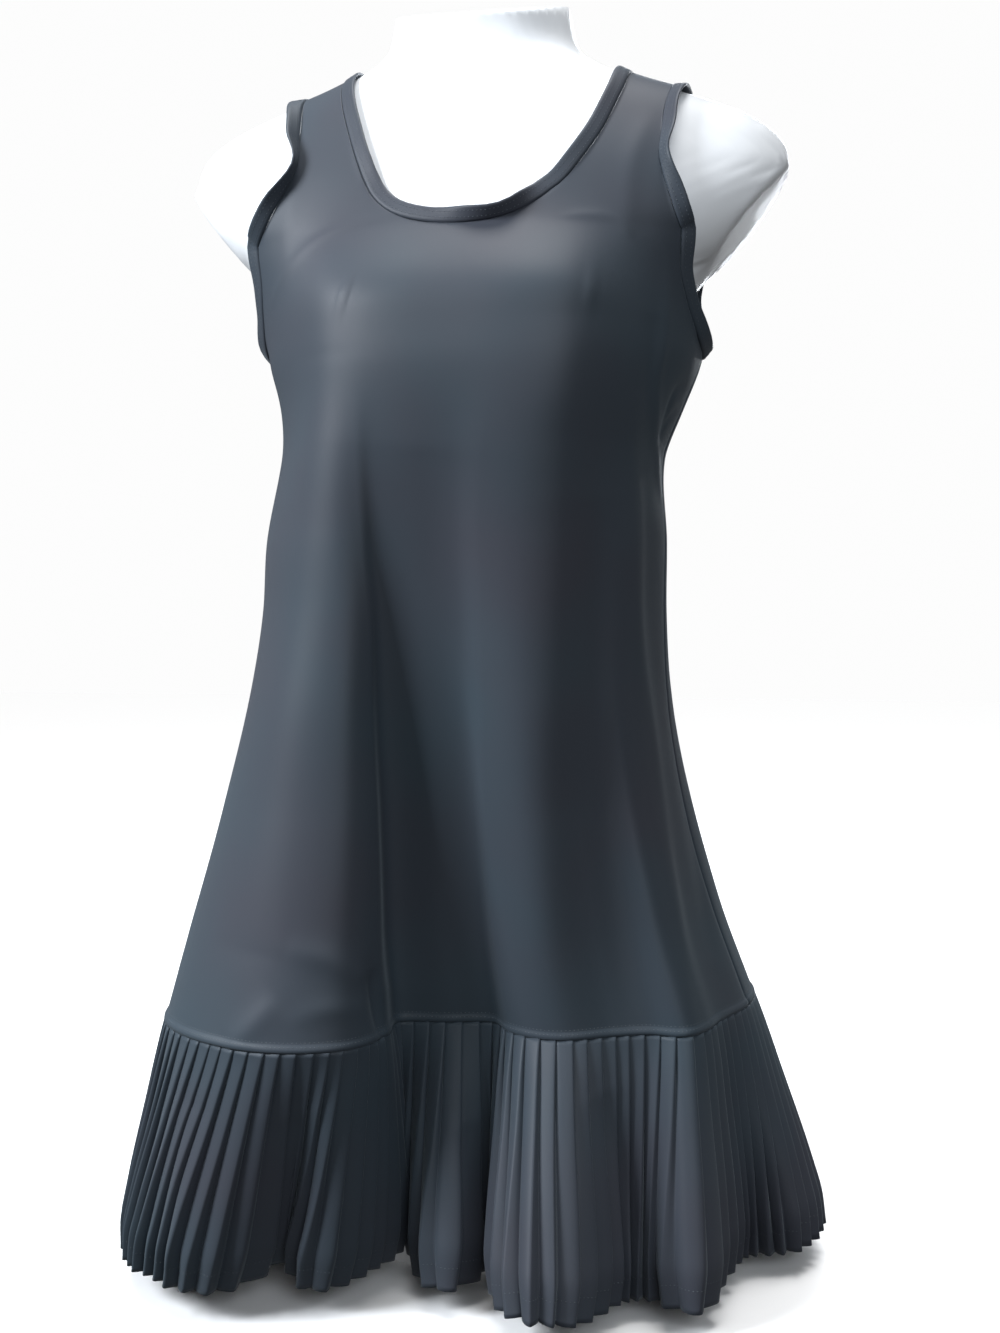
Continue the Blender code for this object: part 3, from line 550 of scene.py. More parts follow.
class Cloth:
    """An open sheet of cloth, row by row, with its points, faces and outward directions."""

    def __init__(self):
        self.points = []
        self.faces = []

    def add(self, points):
        first = len(self.points)
        self.points.extend(points)
        return list(range(first, len(self.points)))

    def join(self, lower, upper):
        for k in range(len(lower) - 1):
            self.faces.append((lower[k], lower[k + 1], upper[k + 1], upper[k]))

    def settle(self):
        """Turns the lists into arrays and finds each point's outward direction."""
        self.points = np.array(self.points)
        self.faces = np.array(self.faces)
        corners = self.points[self.faces]
        normals = np.cross(corners[:, 2] - corners[:, 0], corners[:, 3] - corners[:, 1])
        sums = np.zeros_like(self.points)
        for corner in range(4):
            np.add.at(sums, self.faces[:, corner], normals)
        self.outward = unit(sums)

    def relax(self, low, high, rounds):
        """Evens out the sheet between two heights and keeps its edges where they are."""
        pairs = np.concatenate([self.faces[:, [k, (k + 1) % 4]] for k in range(4)])
        pairs, uses = np.unique(np.sort(pairs, axis=1), axis=0, return_counts=True)
        free = np.ones(len(self.points))
        free[pairs[uses == 1].ravel()] = 0.0
        first, second = pairs.T
        count = np.bincount(pairs.ravel(), minlength=len(self.points))[:, None]
        inside = np.where(free > 0, RELAX_MARGIN, 0)
        for _ in range(RELAX_MARGIN):
            nearest = inside.copy()
            np.minimum.at(nearest, first, inside[second] + 1)
            np.minimum.at(nearest, second, inside[first] + 1)
            inside = nearest
        z = self.points[:, 2]
        share = inside / RELAX_MARGIN
        share = share * np.clip((z - low) / RELAX_FADE, 0, 1) * np.clip((high - z) / RELAX_FADE, 0, 1)
        for _ in range(rounds):
            sums = np.zeros_like(self.points)
            np.add.at(sums, first, self.points[second])
            np.add.at(sums, second, self.points[first])
            self.points = self.points + 0.5 * share[:, None] * (sums / count - self.points)
        self.settle()

    def push(self, amounts):
        """Moves each point out by its own amount."""
        self.points = self.points + self.outward * amounts[:, None]
        self.settle()


class BodyPanel(Cloth):
    """The front or the back of the dress, from the flounce seam to the shoulders."""

    def __init__(self, side, columns, neck, armhole, yoke_rows):
        super().__init__()
        self.side = side
        self.columns = columns
        self.middle = columns // 2
        start = U_LEFT if side < 0 else U_RIGHT
        end = U_RIGHT if side < 0 else U_LEFT + SEAM_LENGTH
        centre = 0.0 if side < 0 else math.pi
        middle = place_of(centre, start, end)
        self.places = np.concatenate((
            np.linspace(start + SEAM_GAP / 2, middle, self.middle + 1),
            np.linspace(middle, end - SEAM_GAP / 2, self.middle + 1)[1:],
        ))
        self.rows = []
        self.straps = ([], [])
        self.body_rows(centre)
        low = 0.0 if side < 0 else rise_of(0.0, BACK_NECK_HEIGHT)
        neck_at = self.edge(neck, low, 0.5)
        armhole_at = self.edge(armhole, None, 1.0)
        self.yoke_and_straps(lambda rise: neck_at((rise - low) ** 0.5), armhole_at, low, yoke_rows)
        self.settle()
        self.relax(RELAX_LOW, RELAX_HIGH, RELAX_ROUNDS)

    def edge(self, edges, low_rise, power):
        """Distance of a bound edge from the middle, by rise, or by its root where it is round."""
        rises = [rise_of(edge.x, edge.height) for edge in edges]
        rises[-1] = 1.0
        if low_rise is not None:
            rises[0] = low_rise
            rises = [rise - low_rise for rise in rises]
        return Track([rise ** power for rise in rises], [edge.x for edge in edges])

    def row(self, points):
        indices = self.add(points)
        if self.rows:
            self.join(self.rows[-1], indices)
        self.rows.append(indices)

    def body_rows(self, centre):
        seam = FLOUNCE_SEAM + SEAM_GAP / 2
        heights = list(np.arange(seam, FLOUNCE_SEAM + HEM_BAND, HEM_ROW))
        count = round((ARMPIT[0].height - heights[-1]) / BODY_ROW)
        heights += list(np.linspace(heights[-1], ARMPIT[0].height, count + 1)[1:])
        for height in heights:
            self.row(dress_point(self.places, height))
        self.armpit_row = len(self.rows) - 1
        angles = fold_at["angle"](self.places)
        count = round((SPLIT_HEIGHT - ARMPIT[0].height) / BODY_ROW)
        for height in np.linspace(ARMPIT[0].height, SPLIT_HEIGHT, count + 1)[1:]:
            share = armpit_angle_at(height) / (math.pi / 2)
            self.row(ring_point(centre + (angles - centre) * share, height))

    def yoke_and_straps(self, neck, armhole, low, yoke_rows):
        last = self.points[self.rows[-1][0]][0], self.points[self.rows[-1][-1]][0]
        xs = np.array([self.points[k][0] for k in self.rows[-1]])
        shares = xs / (0.5 * (abs(last[0]) + abs(last[1])))
        edge_start = abs(last[0]) - armhole(0.0)
        for k in range(1, yoke_rows + 1):
            rise = low * k / yoke_rows
            edge = armhole(rise) + edge_start * (1 - k / yoke_rows) ** 2
            self.row(shoulder_point(self.side, edge * shares, rise))
        self.neck_row = len(self.rows) - 1
        halves = (slice(0, self.middle + 1), slice(self.middle, self.columns + 1))
        for half, columns in enumerate(halves):
            below = self.rows[-1][columns]
            way = np.where(shares[columns] > 1e-6, 1, -1)
            way[-1 if half == 0 else 0] = way[0 if half == 0 else -1]
            for step in range(1, STRAP_ROWS + 1):
                rise = low + (1 - low) * 0.5 * (1 - math.cos(math.pi * step / STRAP_ROWS))
                inner, outer = neck(rise), armhole(rise)
                if yoke_rows == 0:
                    outer = outer + edge_start * (1 - step / STRAP_ROWS) ** 4
                x = way * (inner + (outer - inner) * np.abs(shares[columns]))
                points = shoulder_point(self.side, x, rise)
                if step == STRAP_ROWS:
                    points[:, 1] += self.side * SEAM_GAP / 2
                above = self.add(points)
                self.join(below, above)
                self.straps[half].append(above)
                below = above

    def shape(self):
        """Adds the creases, the rolled lower edge and the side seams to the plain sheet."""
        out = relief(self.points, CREASES)
        height = self.points[:, 2] - FLOUNCE_SEAM
        out += LIP_FULLNESS * np.exp(-((height - LIP_HEIGHT) / LIP_WIDTH) ** 2)
        for row in self.rows[:self.armpit_row]:
            reach = self.places - self.places[0]
            nearest = np.minimum(reach, reach[-1] - reach)
            out[row] -= SIDE_SEAM_DIP * np.exp(-(nearest / SIDE_SEAM_WIDTH) ** 2)
        self.push(out)

    def neck_edge(self, half):
        """Points and their inner neighbours from the middle of the neck to a shoulder."""
        middle_of_half = -1 if half == 0 else 0
        inward = -2 if half == 0 else 1
        stations = [(self.rows[self.neck_row][self.middle], self.rows[self.neck_row - 1][self.middle])]
        stations += [(row[middle_of_half], row[inward]) for row in self.straps[half]]
        return self.stations(stations)

    def armhole_edge(self, half):
        """Points and their inner neighbours from the side seam up to a shoulder."""
        side = 0 if half == 0 else -1
        inward = 1 if half == 0 else -2
        first = self.armpit_row
        stations = [(self.rows[first][side], self.rows[first - 1][side])]
        stations += [(row[side], row[inward]) for row in self.rows[first + 1:]]
        stations += [(row[side], row[inward]) for row in self.straps[half]]
        return self.stations(stations)

    def stations(self, pairs):
        """Place, way to the opening's side and outward direction along an edge."""
        points = self.points
        return [np.array((points[a], points[a] - points[b], self.outward[a])) for a, b in pairs]


def hex_colour(text):
    """A colour written as sRGB hex, as linear light."""
    parts = [int(text[k:k + 2], 16) / 255 for k in (1, 3, 5)]
    return tuple(p / 12.92 if p <= 0.04045 else ((p + 0.055) / 1.055) ** 2.4 for p in parts)


def add_node(tree, kind, links=None, values=None, **settings):
    """Adds a node with its settings and input values, and links sockets into it."""
    node = tree.nodes.new(kind)
    for name, value in settings.items():
        setattr(node, name, value)
    for name, value in (values or {}).items():
        node.inputs[name].default_value = value
    for name, socket in (links or {}).items():
        tree.links.new(socket, node.inputs[name])
    return node


def new_material(name):
    material = bpy.data.materials.new(name)
    material.use_nodes = True
    tree = material.node_tree
    return material, tree, tree.nodes["Principled BSDF"]


def jersey_material(name, rib, tone_low, tone_high, roughness):
    """Brushed polyester jersey: dark, softly satin, with a faint change of hue over the cloth."""
    material, tree, shader = new_material(name)
    place = add_node(tree, "ShaderNodeTexCoord")
    broad = add_node(tree, "ShaderNodeTexNoise", {"Vector": place.outputs["Object"]},
                     {"Scale": 7.0, "Detail": 2.0, "Roughness": 0.5})
    blend = add_node(tree, "ShaderNodeValToRGB", {"Fac": broad.outputs["Fac"]})
    blend.color_ramp.elements[0].position = 0.35
    blend.color_ramp.elements[0].color = (*tone_low, 1.0)
    blend.color_ramp.elements[1].position = 0.65
    blend.color_ramp.elements[1].color = (*tone_high, 1.0)
    tree.links.new(blend.outputs["Color"], shader.inputs["Base Color"])
    shader.inputs["Roughness"].default_value = roughness
    shader.inputs["Sheen Weight"].default_value = 0.12
    shader.inputs["Sheen Roughness"].default_value = 0.45
    shader.inputs["Sheen Tint"].default_value = (*hex_colour("#c9d8e2"), 1.0)
    shader.inputs["Specular IOR Level"].default_value = 0.22
    # Knit wales, drawn at twice their real 0.5 mm so that they show
    weave = add_node(tree, "ShaderNodeTexWave", {"Vector": place.outputs["UV"]},
                     {"Scale": 1.0 / (rib * 2), "Distortion": 0.6, "Detail": 1.0},
                     wave_type="BANDS", bands_direction="X")
    grain = add_node(tree, "ShaderNodeTexNoise", {"Vector": place.outputs["Object"]},
                     {"Scale": 900.0, "Detail": 2.0})
    height = add_node(tree, "ShaderNodeMath",
                      {0: weave.outputs["Fac"], 1: grain.outputs["Fac"]}, operation="ADD")
    bump = add_node(tree, "ShaderNodeBump", {"Height": height.outputs["Value"]},
                    {"Strength": 0.12, "Distance": 0.0002})
    tree.links.new(bump.outputs["Normal"], shader.inputs["Normal"])
    return material


def thread_material(name, colour):
    """Spun polyester sewing thread, a shade lighter than the cloth, with its twist as a bump."""
    material, tree, shader = new_material(name)
    place = add_node(tree, "ShaderNodeTexCoord")
    twist = add_node(tree, "ShaderNodeTexNoise", {"Vector": place.outputs["Object"]},
                     {"Scale": 1500.0, "Detail": 1.0})
    shade = add_node(tree, "ShaderNodeValToRGB", {"Fac": twist.outputs["Fac"]})
    shade.color_ramp.elements[0].color = (*[c * 0.7 for c in colour], 1.0)
    shade.color_ramp.elements[1].color = (*colour, 1.0)
    tree.links.new(shade.outputs["Color"], shader.inputs["Base Color"])
    shader.inputs["Roughness"].default_value = 0.45
    return material


def form_material(colour):
    """Rotation-moulded polyethylene, painted satin white, with the mould's faint unevenness."""
    material, tree, shader = new_material("satin_white_polyethylene")
    place = add_node(tree, "ShaderNodeTexCoord")
    cloud = add_node(tree, "ShaderNodeTexNoise", {"Vector": place.outputs["Object"]},
                     {"Scale": 9.0, "Detail": 3.0})
    shade = add_node(tree, "ShaderNodeValToRGB", {"Fac": cloud.outputs["Fac"]})
    shade.color_ramp.elements[0].color = (*[c * 0.97 for c in colour], 1.0)
    shade.color_ramp.elements[1].color = (*colour, 1.0)
    tree.links.new(shade.outputs["Color"], shader.inputs["Base Color"])
    grain = add_node(tree, "ShaderNodeTexNoise", {"Vector": place.outputs["Object"]},
                     {"Scale": 260.0, "Detail": 2.0})
    bump = add_node(tree, "ShaderNodeBump", {"Height": grain.outputs["Fac"]},
                    {"Strength": 0.04, "Distance": 0.0004})
    tree.links.new(bump.outputs["Normal"], shader.inputs["Normal"])
    shader.inputs["Roughness"].default_value = 0.42
    shader.inputs["Coat Weight"].default_value = 0.1
    return material


def mesh_piece(name, points, faces, material):
    """A piece at the origin from points on the unmoved dress."""
    mesh = bpy.data.meshes.new(name)
    mesh.from_pydata((np.asarray(points) + CENTRE).tolist(), [], [tuple(map(int, f)) for f in faces])
    mesh.materials.append(material)
    piece = bpy.data.objects.new(name, mesh)
    bpy.context.scene.collection.objects.link(piece)
    bpy.ops.object.select_all(action="DESELECT")
    piece.select_set(True)
    bpy.context.view_layer.objects.active = piece
    bpy.ops.object.shade_smooth()
    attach(piece, "root")
    return piece


def pattern_coordinates(piece, scale_from):
    """A UV map in metres: round the body by angle, and up by height."""
    layer = piece.data.uv_layers.new(name="knit")
    places = np.array([v.co for v in piece.data.vertices])
    round_body = np.arctan2(places[:, 0], -places[:, 1]) * scale_from
    corner = np.zeros(len(piece.data.loops), dtype=np.int32)
    piece.data.loops.foreach_get("vertex_index", corner)
    values = np.stack((round_body[corner], places[corner, 2]), axis=-1)
    layer.data.foreach_set("uv", values.ravel().astype(np.float32))


def give_wall(piece, thickness):
    """Turns an open sheet into a closed wall, outwards from its points."""
    wall = piece.modifiers.new("wall", "SOLIDIFY")
    wall.thickness = thickness
    wall.offset = 1.0
    wall.use_even_offset = False
    bpy.ops.object.select_all(action="DESELECT")
    piece.select_set(True)
    bpy.context.view_layer.objects.active = piece
    bpy.ops.object.modifier_apply(modifier="wall")


panels = {}


def panel(side):
    """The shaped front or back sheet, made once."""
    if side not in panels:
        if side < 0:
            made = BodyPanel(side, FRONT_COLUMNS, NECK_FRONT, ARMHOLE_FRONT, 0)
        else:
            made = BodyPanel(side, BACK_COLUMNS, NECK_BACK, ARMHOLE_BACK, 16)
        made.shape()
        panels[side] = made
    return panels[side]


def build_body(side, name, node, sizes, colours):
    sheet = panel(side)
    material = bpy.data.materials.get("polyester_jersey") or jersey_material(
        "polyester_jersey", sizes.knit_wale, colours.jersey_teal, colours.jersey_plum, 0.5)
    piece = mesh_piece(name, sheet.points, sheet.faces, material)
    pattern_coordinates(piece, 0.16)
    give_wall(piece, sizes.cloth)
    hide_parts(node)


# Across a binding: way from the sewn edge and height over the dress's inner face
BindingPoint = namedtuple("BindingPoint", "across height")
BINDING_SECTION = (
    BindingPoint(0.3 * MM, 0.0 * MM),
    BindingPoint(0.3 * MM, 0.8 * MM),
    BindingPoint(0.8 * MM, 1.5 * MM),
    BindingPoint(2.0 * MM, 1.9 * MM),
    BindingPoint(3.4 * MM, 1.75 * MM),
    BindingPoint(5.2 * MM, 2.0 * MM),
    BindingPoint(7.2 * MM, 1.75 * MM),
    BindingPoint(8.8 * MM, 1.95 * MM),
    BindingPoint(10.0 * MM, 1.6 * MM),
    BindingPoint(10.5 * MM, 0.9 * MM),
    BindingPoint(10.2 * MM, 0.2 * MM),
    BindingPoint(8.5 * MM, 0.0 * MM),
    BindingPoint(4.0 * MM, 0.0 * MM),
)
BINDING_STITCHES = (3.4 * MM, 7.2 * MM)
BINDING_CROWN = 1.8 * MM


def binding_frames(loop):
    """Place, way into the opening and outward direction round a closed bound edge."""
    places, ways, outward = (np.array([station[k] for station in loop]) for k in range(3))
    along = unit(np.roll(places, -1, axis=0) - np.roll(places, 1, axis=0))
    for _ in range(EDGE_SMOOTHING):
        outward = unit(outward + 0.5 * (np.roll(outward, 1, axis=0) + np.roll(outward, -1, axis=0)))
    across = unit(np.cross(along, outward))
    if np.mean(np.sum(across * unit(ways), axis=1)) < 0:
        across = -across
    return list(zip(places, across, unit(np.cross(across, along) * np.sign(
        np.sum(np.cross(across, along) * outward, axis=1, keepdims=True)))))


def binding_loops():
    """The three bound edges as closed loops of stations, with their free edge's lift."""
    front, back = panel(-1), panel(1)
    right_front, left_front = front.neck_edge(1), front.neck_edge(0)
    right_back, left_back = back.neck_edge(0), back.neck_edge(1)
    neck = right_front[:-1] + [0.5 * (right_front[-1] + right_back[-1])]
    neck += right_back[-2:0:-1] + left_back[:-1]
    neck += [0.5 * (left_back[-1] + left_front[-1])] + left_front[-2:0:-1]
    loops = {"neck_binding": (neck[::-1], NECK_LIFT)}
    for name, half in (("armhole_binding_right", 0), ("armhole_binding_left", 1)):
        ahead, behind = front.armhole_edge(half), back.armhole_edge(1 - half)
        loop = [0.5 * (ahead[0] + behind[0])] + ahead[1:-1]
        loop += [0.5 * (ahead[-1] + behind[-1])] + behind[-2:0:-1]
        if half == 0:
            loop.reverse()
        loops[name] = (loop, ARMHOLE_LIFT)
    return {name: (binding_frames(loop), lift) for name, (loop, lift) in loops.items()}


def build_bindings(colours, sizes):
    material = jersey_material("folded_jersey_binding", sizes.knit_wale,
                               colours.jersey_teal, colours.jersey_plum, 0.48)
    pieces = []
    for name, (frames, lift) in binding_loops().items():
        points = []
        for place, way, outward in frames:
            for corner in BINDING_SECTION:
                rise = corner.height + lift * corner.across / BINDING_WIDTH
                points.append(place + way * corner.across + outward * rise)
        around = len(BINDING_SECTION)
        faces = []
        for k in range(len(frames)):
            here, after = around * k, around * ((k + 1) % len(frames))
            for corner in range(around):
                turn = (corner + 1) % around
                faces.append((here + corner, here + turn, after + turn, after + corner))
        piece = mesh_piece(name + "_strip", points, faces, material)
        pattern_coordinates(piece, 0.16)
        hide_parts(name)
        pieces.append(piece)
    return pieces


def pleat_edges():
    """Where each pleat starts along the seam ring, front first, with uneven widths."""
    draw = np.random.default_rng(PLEAT_SEED)
    edges = []
    for start, end, count in ((U_LEFT, U_RIGHT, PLEATS_FRONT),
                              (U_RIGHT, U_LEFT + SEAM_LENGTH, PLEATS_BACK)):
        widths = 1 + 0.07 * draw.standard_normal(count)
        steps = np.cumsum(widths) / widths.sum()
        edges.append(start + (end - start) * np.concatenate(([0.0], steps)))
    depths = 1 + 0.13 * draw.standard_normal(PLEATS_FRONT + PLEATS_BACK)
    leans = 0.05 * draw.standard_normal(PLEATS_FRONT + PLEATS_BACK)
    return edges, depths, leans


def pleated_sheet(which, rows):
    """The flounce's front (0) or back (1) as one folded sheet from hem to seam."""
    edges, depths, leans = pleat_edges()
    edges = edges[which]
    first = 0 if which == 0 else PLEATS_FRONT
    sheet = Cloth()
    below = None
    shares = np.linspace(1.0, SEAM_GAP / (2 * FLOUNCE_DROP), rows + 1)
    for share in shares:
        places = []
        outs = []
        depth = pleats_at["depth"](share)
        for k, (start, end) in enumerate(zip(edges, edges[1:])):
            size = depth * depths[first + k]
            for point in PLEAT:
                along = point.seam_along + (point.hem_along - point.seam_along) * share
                along += leans[first + k] * share * along
                outs.append(size * (point.seam_out + (point.hem_out - point.seam_out) * share))
                places.append(start + (end - start) * along)
        places.append(edges[-1])
        outs.append(0.0)
        places = np.array(places)
        places[0] += SEAM_GAP / 2
        places[-1] -= SEAM_GAP / 2
        middle = flounce_point(places, share)
        step = 1.0 * MM
        along = flounce_point(places + step, share) - flounce_point(places - step, share)
        way = unit(triple(along[:, 1], -along[:, 0], 0.0))
        out = np.array(outs) + pleats_at["bow"](share) + relief(middle, CREASES)
        above = sheet.add(middle + way * out[:, None])
        if below:
            sheet.join(below, above)
        below = above
    sheet.settle()
    return sheet


def build_flounce(which, name, node, sizes, colours):
    sheet = pleated_sheet(which, FLOUNCE_ROWS_FRONT if which == 0 else FLOUNCE_ROWS_BACK)
    material = bpy.data.materials.get("heat_set_pleated_jersey") or jersey_material(
        "heat_set_pleated_jersey", sizes.knit_wale, colours.jersey_teal, colours.jersey_plum, 0.52)
    piece = mesh_piece(name, sheet.points, sheet.faces, material)
    pattern_coordinates(piece, 0.2)
    give_wall(piece, sizes.pleat_cloth)
    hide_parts(node)


def stitch_row(points, outward, pitch, closed):
    """Small raised stitches along a line of points: their corners and faces."""
    if closed:
        points = np.vstack((points, points[:1]))
        outward = np.vstack((outward, outward[:1]))
    steps = np.linalg.norm(np.diff(points, axis=0), axis=1)
    run = np.concatenate(([0.0], np.cumsum(steps)))
    count = int(run[-1] / pitch)
    middles = (np.arange(count) + 0.5) * run[-1] / count

    def at(distance, values):
        return np.stack([np.interp(distance, run, values[:, axis]) for axis in range(3)], axis=-1)

    start = at(middles - STITCH_LENGTH / 2, points)
    end = at(middles + STITCH_LENGTH / 2, points)
    centre = at(middles, points)
    up = unit(at(middles, outward))
    across = unit(np.cross(unit(end - start), up)) * STITCH_WIDTH / 2
    high = up * STITCH_WIDTH * 0.55
    low = up * STITCH_WIDTH * 0.35
    corners = np.stack((start - low, centre + across, centre + high, centre - across,
                        centre - low, end - low), axis=1)
    ring = ((1, 2), (2, 3), (3, 4), (4, 1))
    faces = []
    for k in range(count):
        for a, b in ring:
            faces.append((6 * k, 6 * k + b, 6 * k + a))
            faces.append((6 * k + 5, 6 * k + a, 6 * k + b))
    return corners.reshape(-1, 3), faces


def stitched_piece(name, rows, material):
    """One mesh of all the stitches of several rows."""
    points, faces = [], []
    for corners, row_faces in rows:
        first = sum(len(p) for p in points)
        points.append(corners)
        faces += [tuple(first + k for k in face) for face in row_faces]
    return mesh_piece(name, np.vstack(points), faces, material)


def build_stitching(sizes, colours):
    thread = thread_material("spun_polyester_thread", colours.thread)
    front, back = panel(-1), panel(1)
    rows = []
    for rise in STITCH_ROWS:
        for sheet in (front, back):
            heights = [sheet.points[row[0]][2] - FLOUNCE_SEAM for row in sheet.rows[:20]]
            row = sheet.rows[int(np.argmin(np.abs(np.array(heights) - rise)))]
            line = sheet.points[row] + sheet.outward[row] * sizes.cloth
            rows.append(stitch_row(line, sheet.outward[row], STITCH_PITCH, False))
    stitched_piece("body_hem_stitches", rows, thread)
    rows = []
    for frames, lift in binding_loops().values():
        for across in BINDING_STITCHES:
            rise = BINDING_CROWN + lift * across / BINDING_WIDTH
            line = np.array([p + w * across + o * rise for p, w, o in frames])
            rows.append(stitch_row(line, np.array([o for _, _, o in frames]), STITCH_PITCH, True))
    stitched_piece("binding_stitches", rows, thread)
    rows = []
    for which, count in ((0, FLOUNCE_ROWS_FRONT), (1, FLOUNCE_ROWS_BACK)):
        sheet = pleated_sheet(which, count)
        width = len(sheet.points) // (count + 1)
        level = round(HEM_STITCH_RISE / FLOUNCE_DROP * count)
        row = slice(level * width, (level + 1) * width)
        line = sheet.points[row] + sheet.outward[row] * sizes.pleat_cloth
        rows.append(stitch_row(line, sheet.outward[row], STITCH_PITCH, False))
    stitched_piece("flounce_hem_stitches", rows, thread)


CUT_FACE_SIDES = 8


def build_form(sizes, colours):
    """The torso form: its solid, merged, creased at its cut faces, smoothed and eased."""
    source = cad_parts["dress_form"]
    piece = bpy.data.objects.new("torso_form", source.data.copy())
    bpy.context.scene.collection.objects.link(piece)
    piece.data.materials.clear()
    piece.data.materials.append(form_material(colours.form))
    bpy.ops.object.select_all(action="DESELECT")
    piece.select_set(True)
    bpy.context.view_layer.objects.active = piece
    bpy.ops.object.mode_set(mode="EDIT")
    bpy.ops.mesh.select_all(action="SELECT")
    bpy.ops.mesh.remove_doubles(threshold=0.00005)
    bpy.ops.mesh.customdata_custom_splitnormals_clear()
    bpy.ops.mesh.dissolve_limited(angle_limit=math.radians(0.3))
    bpy.ops.mesh.select_mode(type="FACE")
    bpy.ops.mesh.select_all(action="DESELECT")
    bpy.ops.mesh.select_face_by_sides(number=CUT_FACE_SIDES, type="GREATER", extend=False)
    bpy.ops.mesh.region_to_loop()
    bpy.ops.transform.edge_crease(value=0.9)
    bpy.ops.object.mode_set(mode="OBJECT")
    smooth = piece.modifiers.new("smooth", "SUBSURF")
    smooth.levels = 2
    smooth.render_levels = 2
    bpy.ops.object.modifier_apply(modifier="smooth")
    bpy.ops.object.shade_smooth()
    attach(piece, "root")
    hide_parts("dress_form")


OVERHEAD_SPREAD = math.radians(30)
CAMERA_DISTANCE = 1.05
CAMERA_TURN = math.radians(10)
CAMERA_HEIGHT = 0.45
CAMERA_TILT = math.radians(2)
CAMERA_SIDE = 0.0125
SENSOR_HEIGHT = 36.0
CAMERA_LENS = 40.807


def build_stage(lights):
    scene = bpy.context.scene
    bpy.ops.object.select_all(action="DESELECT")
    bpy.ops.mesh.primitive_plane_add(size=1, location=(0, 0, 0))
    floor = bpy.context.object
    floor.name = "studio_floor"
    bpy.ops.object.mode_set(mode="EDIT")
    bpy.ops.mesh.select_all(action="SELECT")
    bpy.ops.transform.resize(value=(14, 14, 1))
    bpy.ops.object.mode_set(mode="OBJECT")
    material, tree, shader = new_material("matt_white_paper")
    shader.inputs["Base Color"].default_value = (*lights.floor, 1.0)
    shader.inputs["Roughness"].default_value = 0.9
    floor.data.materials.append(material)
    # The floor takes light and shade and throws none back, as a floor outside the softboxes does
    floor.visible_diffuse = False
    floor.visible_glossy = False

    scene.view_settings.view_transform = "Standard"
    world = scene.world or bpy.data.worlds.new("studio")
    scene.world = world
    world.use_nodes = True
    background = world.node_tree.nodes["Background"]
    background.inputs["Color"].default_value = (1.0, 1.0, 1.0, 1.0)
    sight = add_node(world.node_tree, "ShaderNodeLightPath")
    strength = add_node(world.node_tree, "ShaderNodeMapRange", {"Value": sight.outputs["Is Camera Ray"]},
                        {"To Min": lights.ambient, "To Max": lights.backdrop})
    world.node_tree.links.new(strength.outputs["Result"], background.inputs["Strength"])

    def soft_light(name, place, target, size, power):
        light = bpy.data.lights.new(name, "AREA")
        light.shape = "RECTANGLE"
        light.size, light.size_y = size
        light.energy = power
        light.color = lights.tint
        holder = bpy.data.objects.new(name, light)
        scene.collection.objects.link(holder)
        holder.location = place
        way = Vector(target) - Vector(place)
        holder.rotation_euler = way.to_track_quat("-Z", "Y").to_euler()

    soft_light("key_softbox", (-1.5, -1.1, 1.5), (0.0, 0.0, 0.5), (0.8, 0.8), lights.key)
    soft_light("fill_softbox", (1.0, -2.2, 1.4), (0.0, 0.0, 0.6), (1.2, 1.2), lights.fill)
    soft_light("back_softbox", (0.2, 2.2, 1.4), (0.0, 0.0, 0.5), (1.2, 1.2), lights.back)
    overhead = bpy.data.lights.new("overhead_light", "SUN")
    overhead.energy = lights.top
    overhead.angle = OVERHEAD_SPREAD
    scene.collection.objects.link(bpy.data.objects.new("overhead_light", overhead))

    camera_data = bpy.data.cameras.new("camera")
    camera_data.sensor_fit = "VERTICAL"
    camera_data.sensor_height = SENSOR_HEIGHT
    camera_data.lens = CAMERA_LENS
    camera_data.clip_start = 0.05
    camera = bpy.data.objects.new("camera", camera_data)
    scene.collection.objects.link(camera)
    sine, cosine = math.sin(CAMERA_TURN), math.cos(CAMERA_TURN)
    camera.location = (CAMERA_DISTANCE * sine + CAMERA_SIDE * cosine + CENTRE[0],
                       -CAMERA_DISTANCE * cosine + CAMERA_SIDE * sine + CENTRE[1], CAMERA_HEIGHT)
    way = Vector((-sine * math.cos(CAMERA_TILT), cosine * math.cos(CAMERA_TILT), -math.sin(CAMERA_TILT)))
    camera.rotation_euler = way.to_track_quat("-Z", "Y").to_euler()
    scene.camera = camera


class TennisDressSizes(bpy.types.PropertyGroup):
    cloth: bpy.props.FloatProperty(
        name="Jersey", description="Thickness of the body's jersey", default=1.0 * MM, unit="LENGTH")
    pleat_cloth: bpy.props.FloatProperty(
        name="Pleated jersey", description="Thickness of the pleated cloth", default=0.6 * MM,
        unit="LENGTH")
    knit_wale: bpy.props.FloatProperty(
        name="Knit wale", description="Distance between two wales of the knit", default=0.5 * MM,
        unit="LENGTH")


class TennisDressColours(bpy.types.PropertyGroup):
    jersey_teal: bpy.props.FloatVectorProperty(
        name="Jersey, cool", description="The jersey's cooler tone", subtype="COLOR",
        default=hex_colour("#353f47"))
    jersey_plum: bpy.props.FloatVectorProperty(
        name="Jersey, warm", description="The jersey's warmer tone", subtype="COLOR",
        default=hex_colour("#383b43"))
    thread: bpy.props.FloatVectorProperty(
        name="Thread", description="Sewing thread", subtype="COLOR", default=hex_colour("#4a5258"))
    form: bpy.props.FloatVectorProperty(
        name="Form", description="The torso form's white", subtype="COLOR",
        default=hex_colour("#eef1f4"))


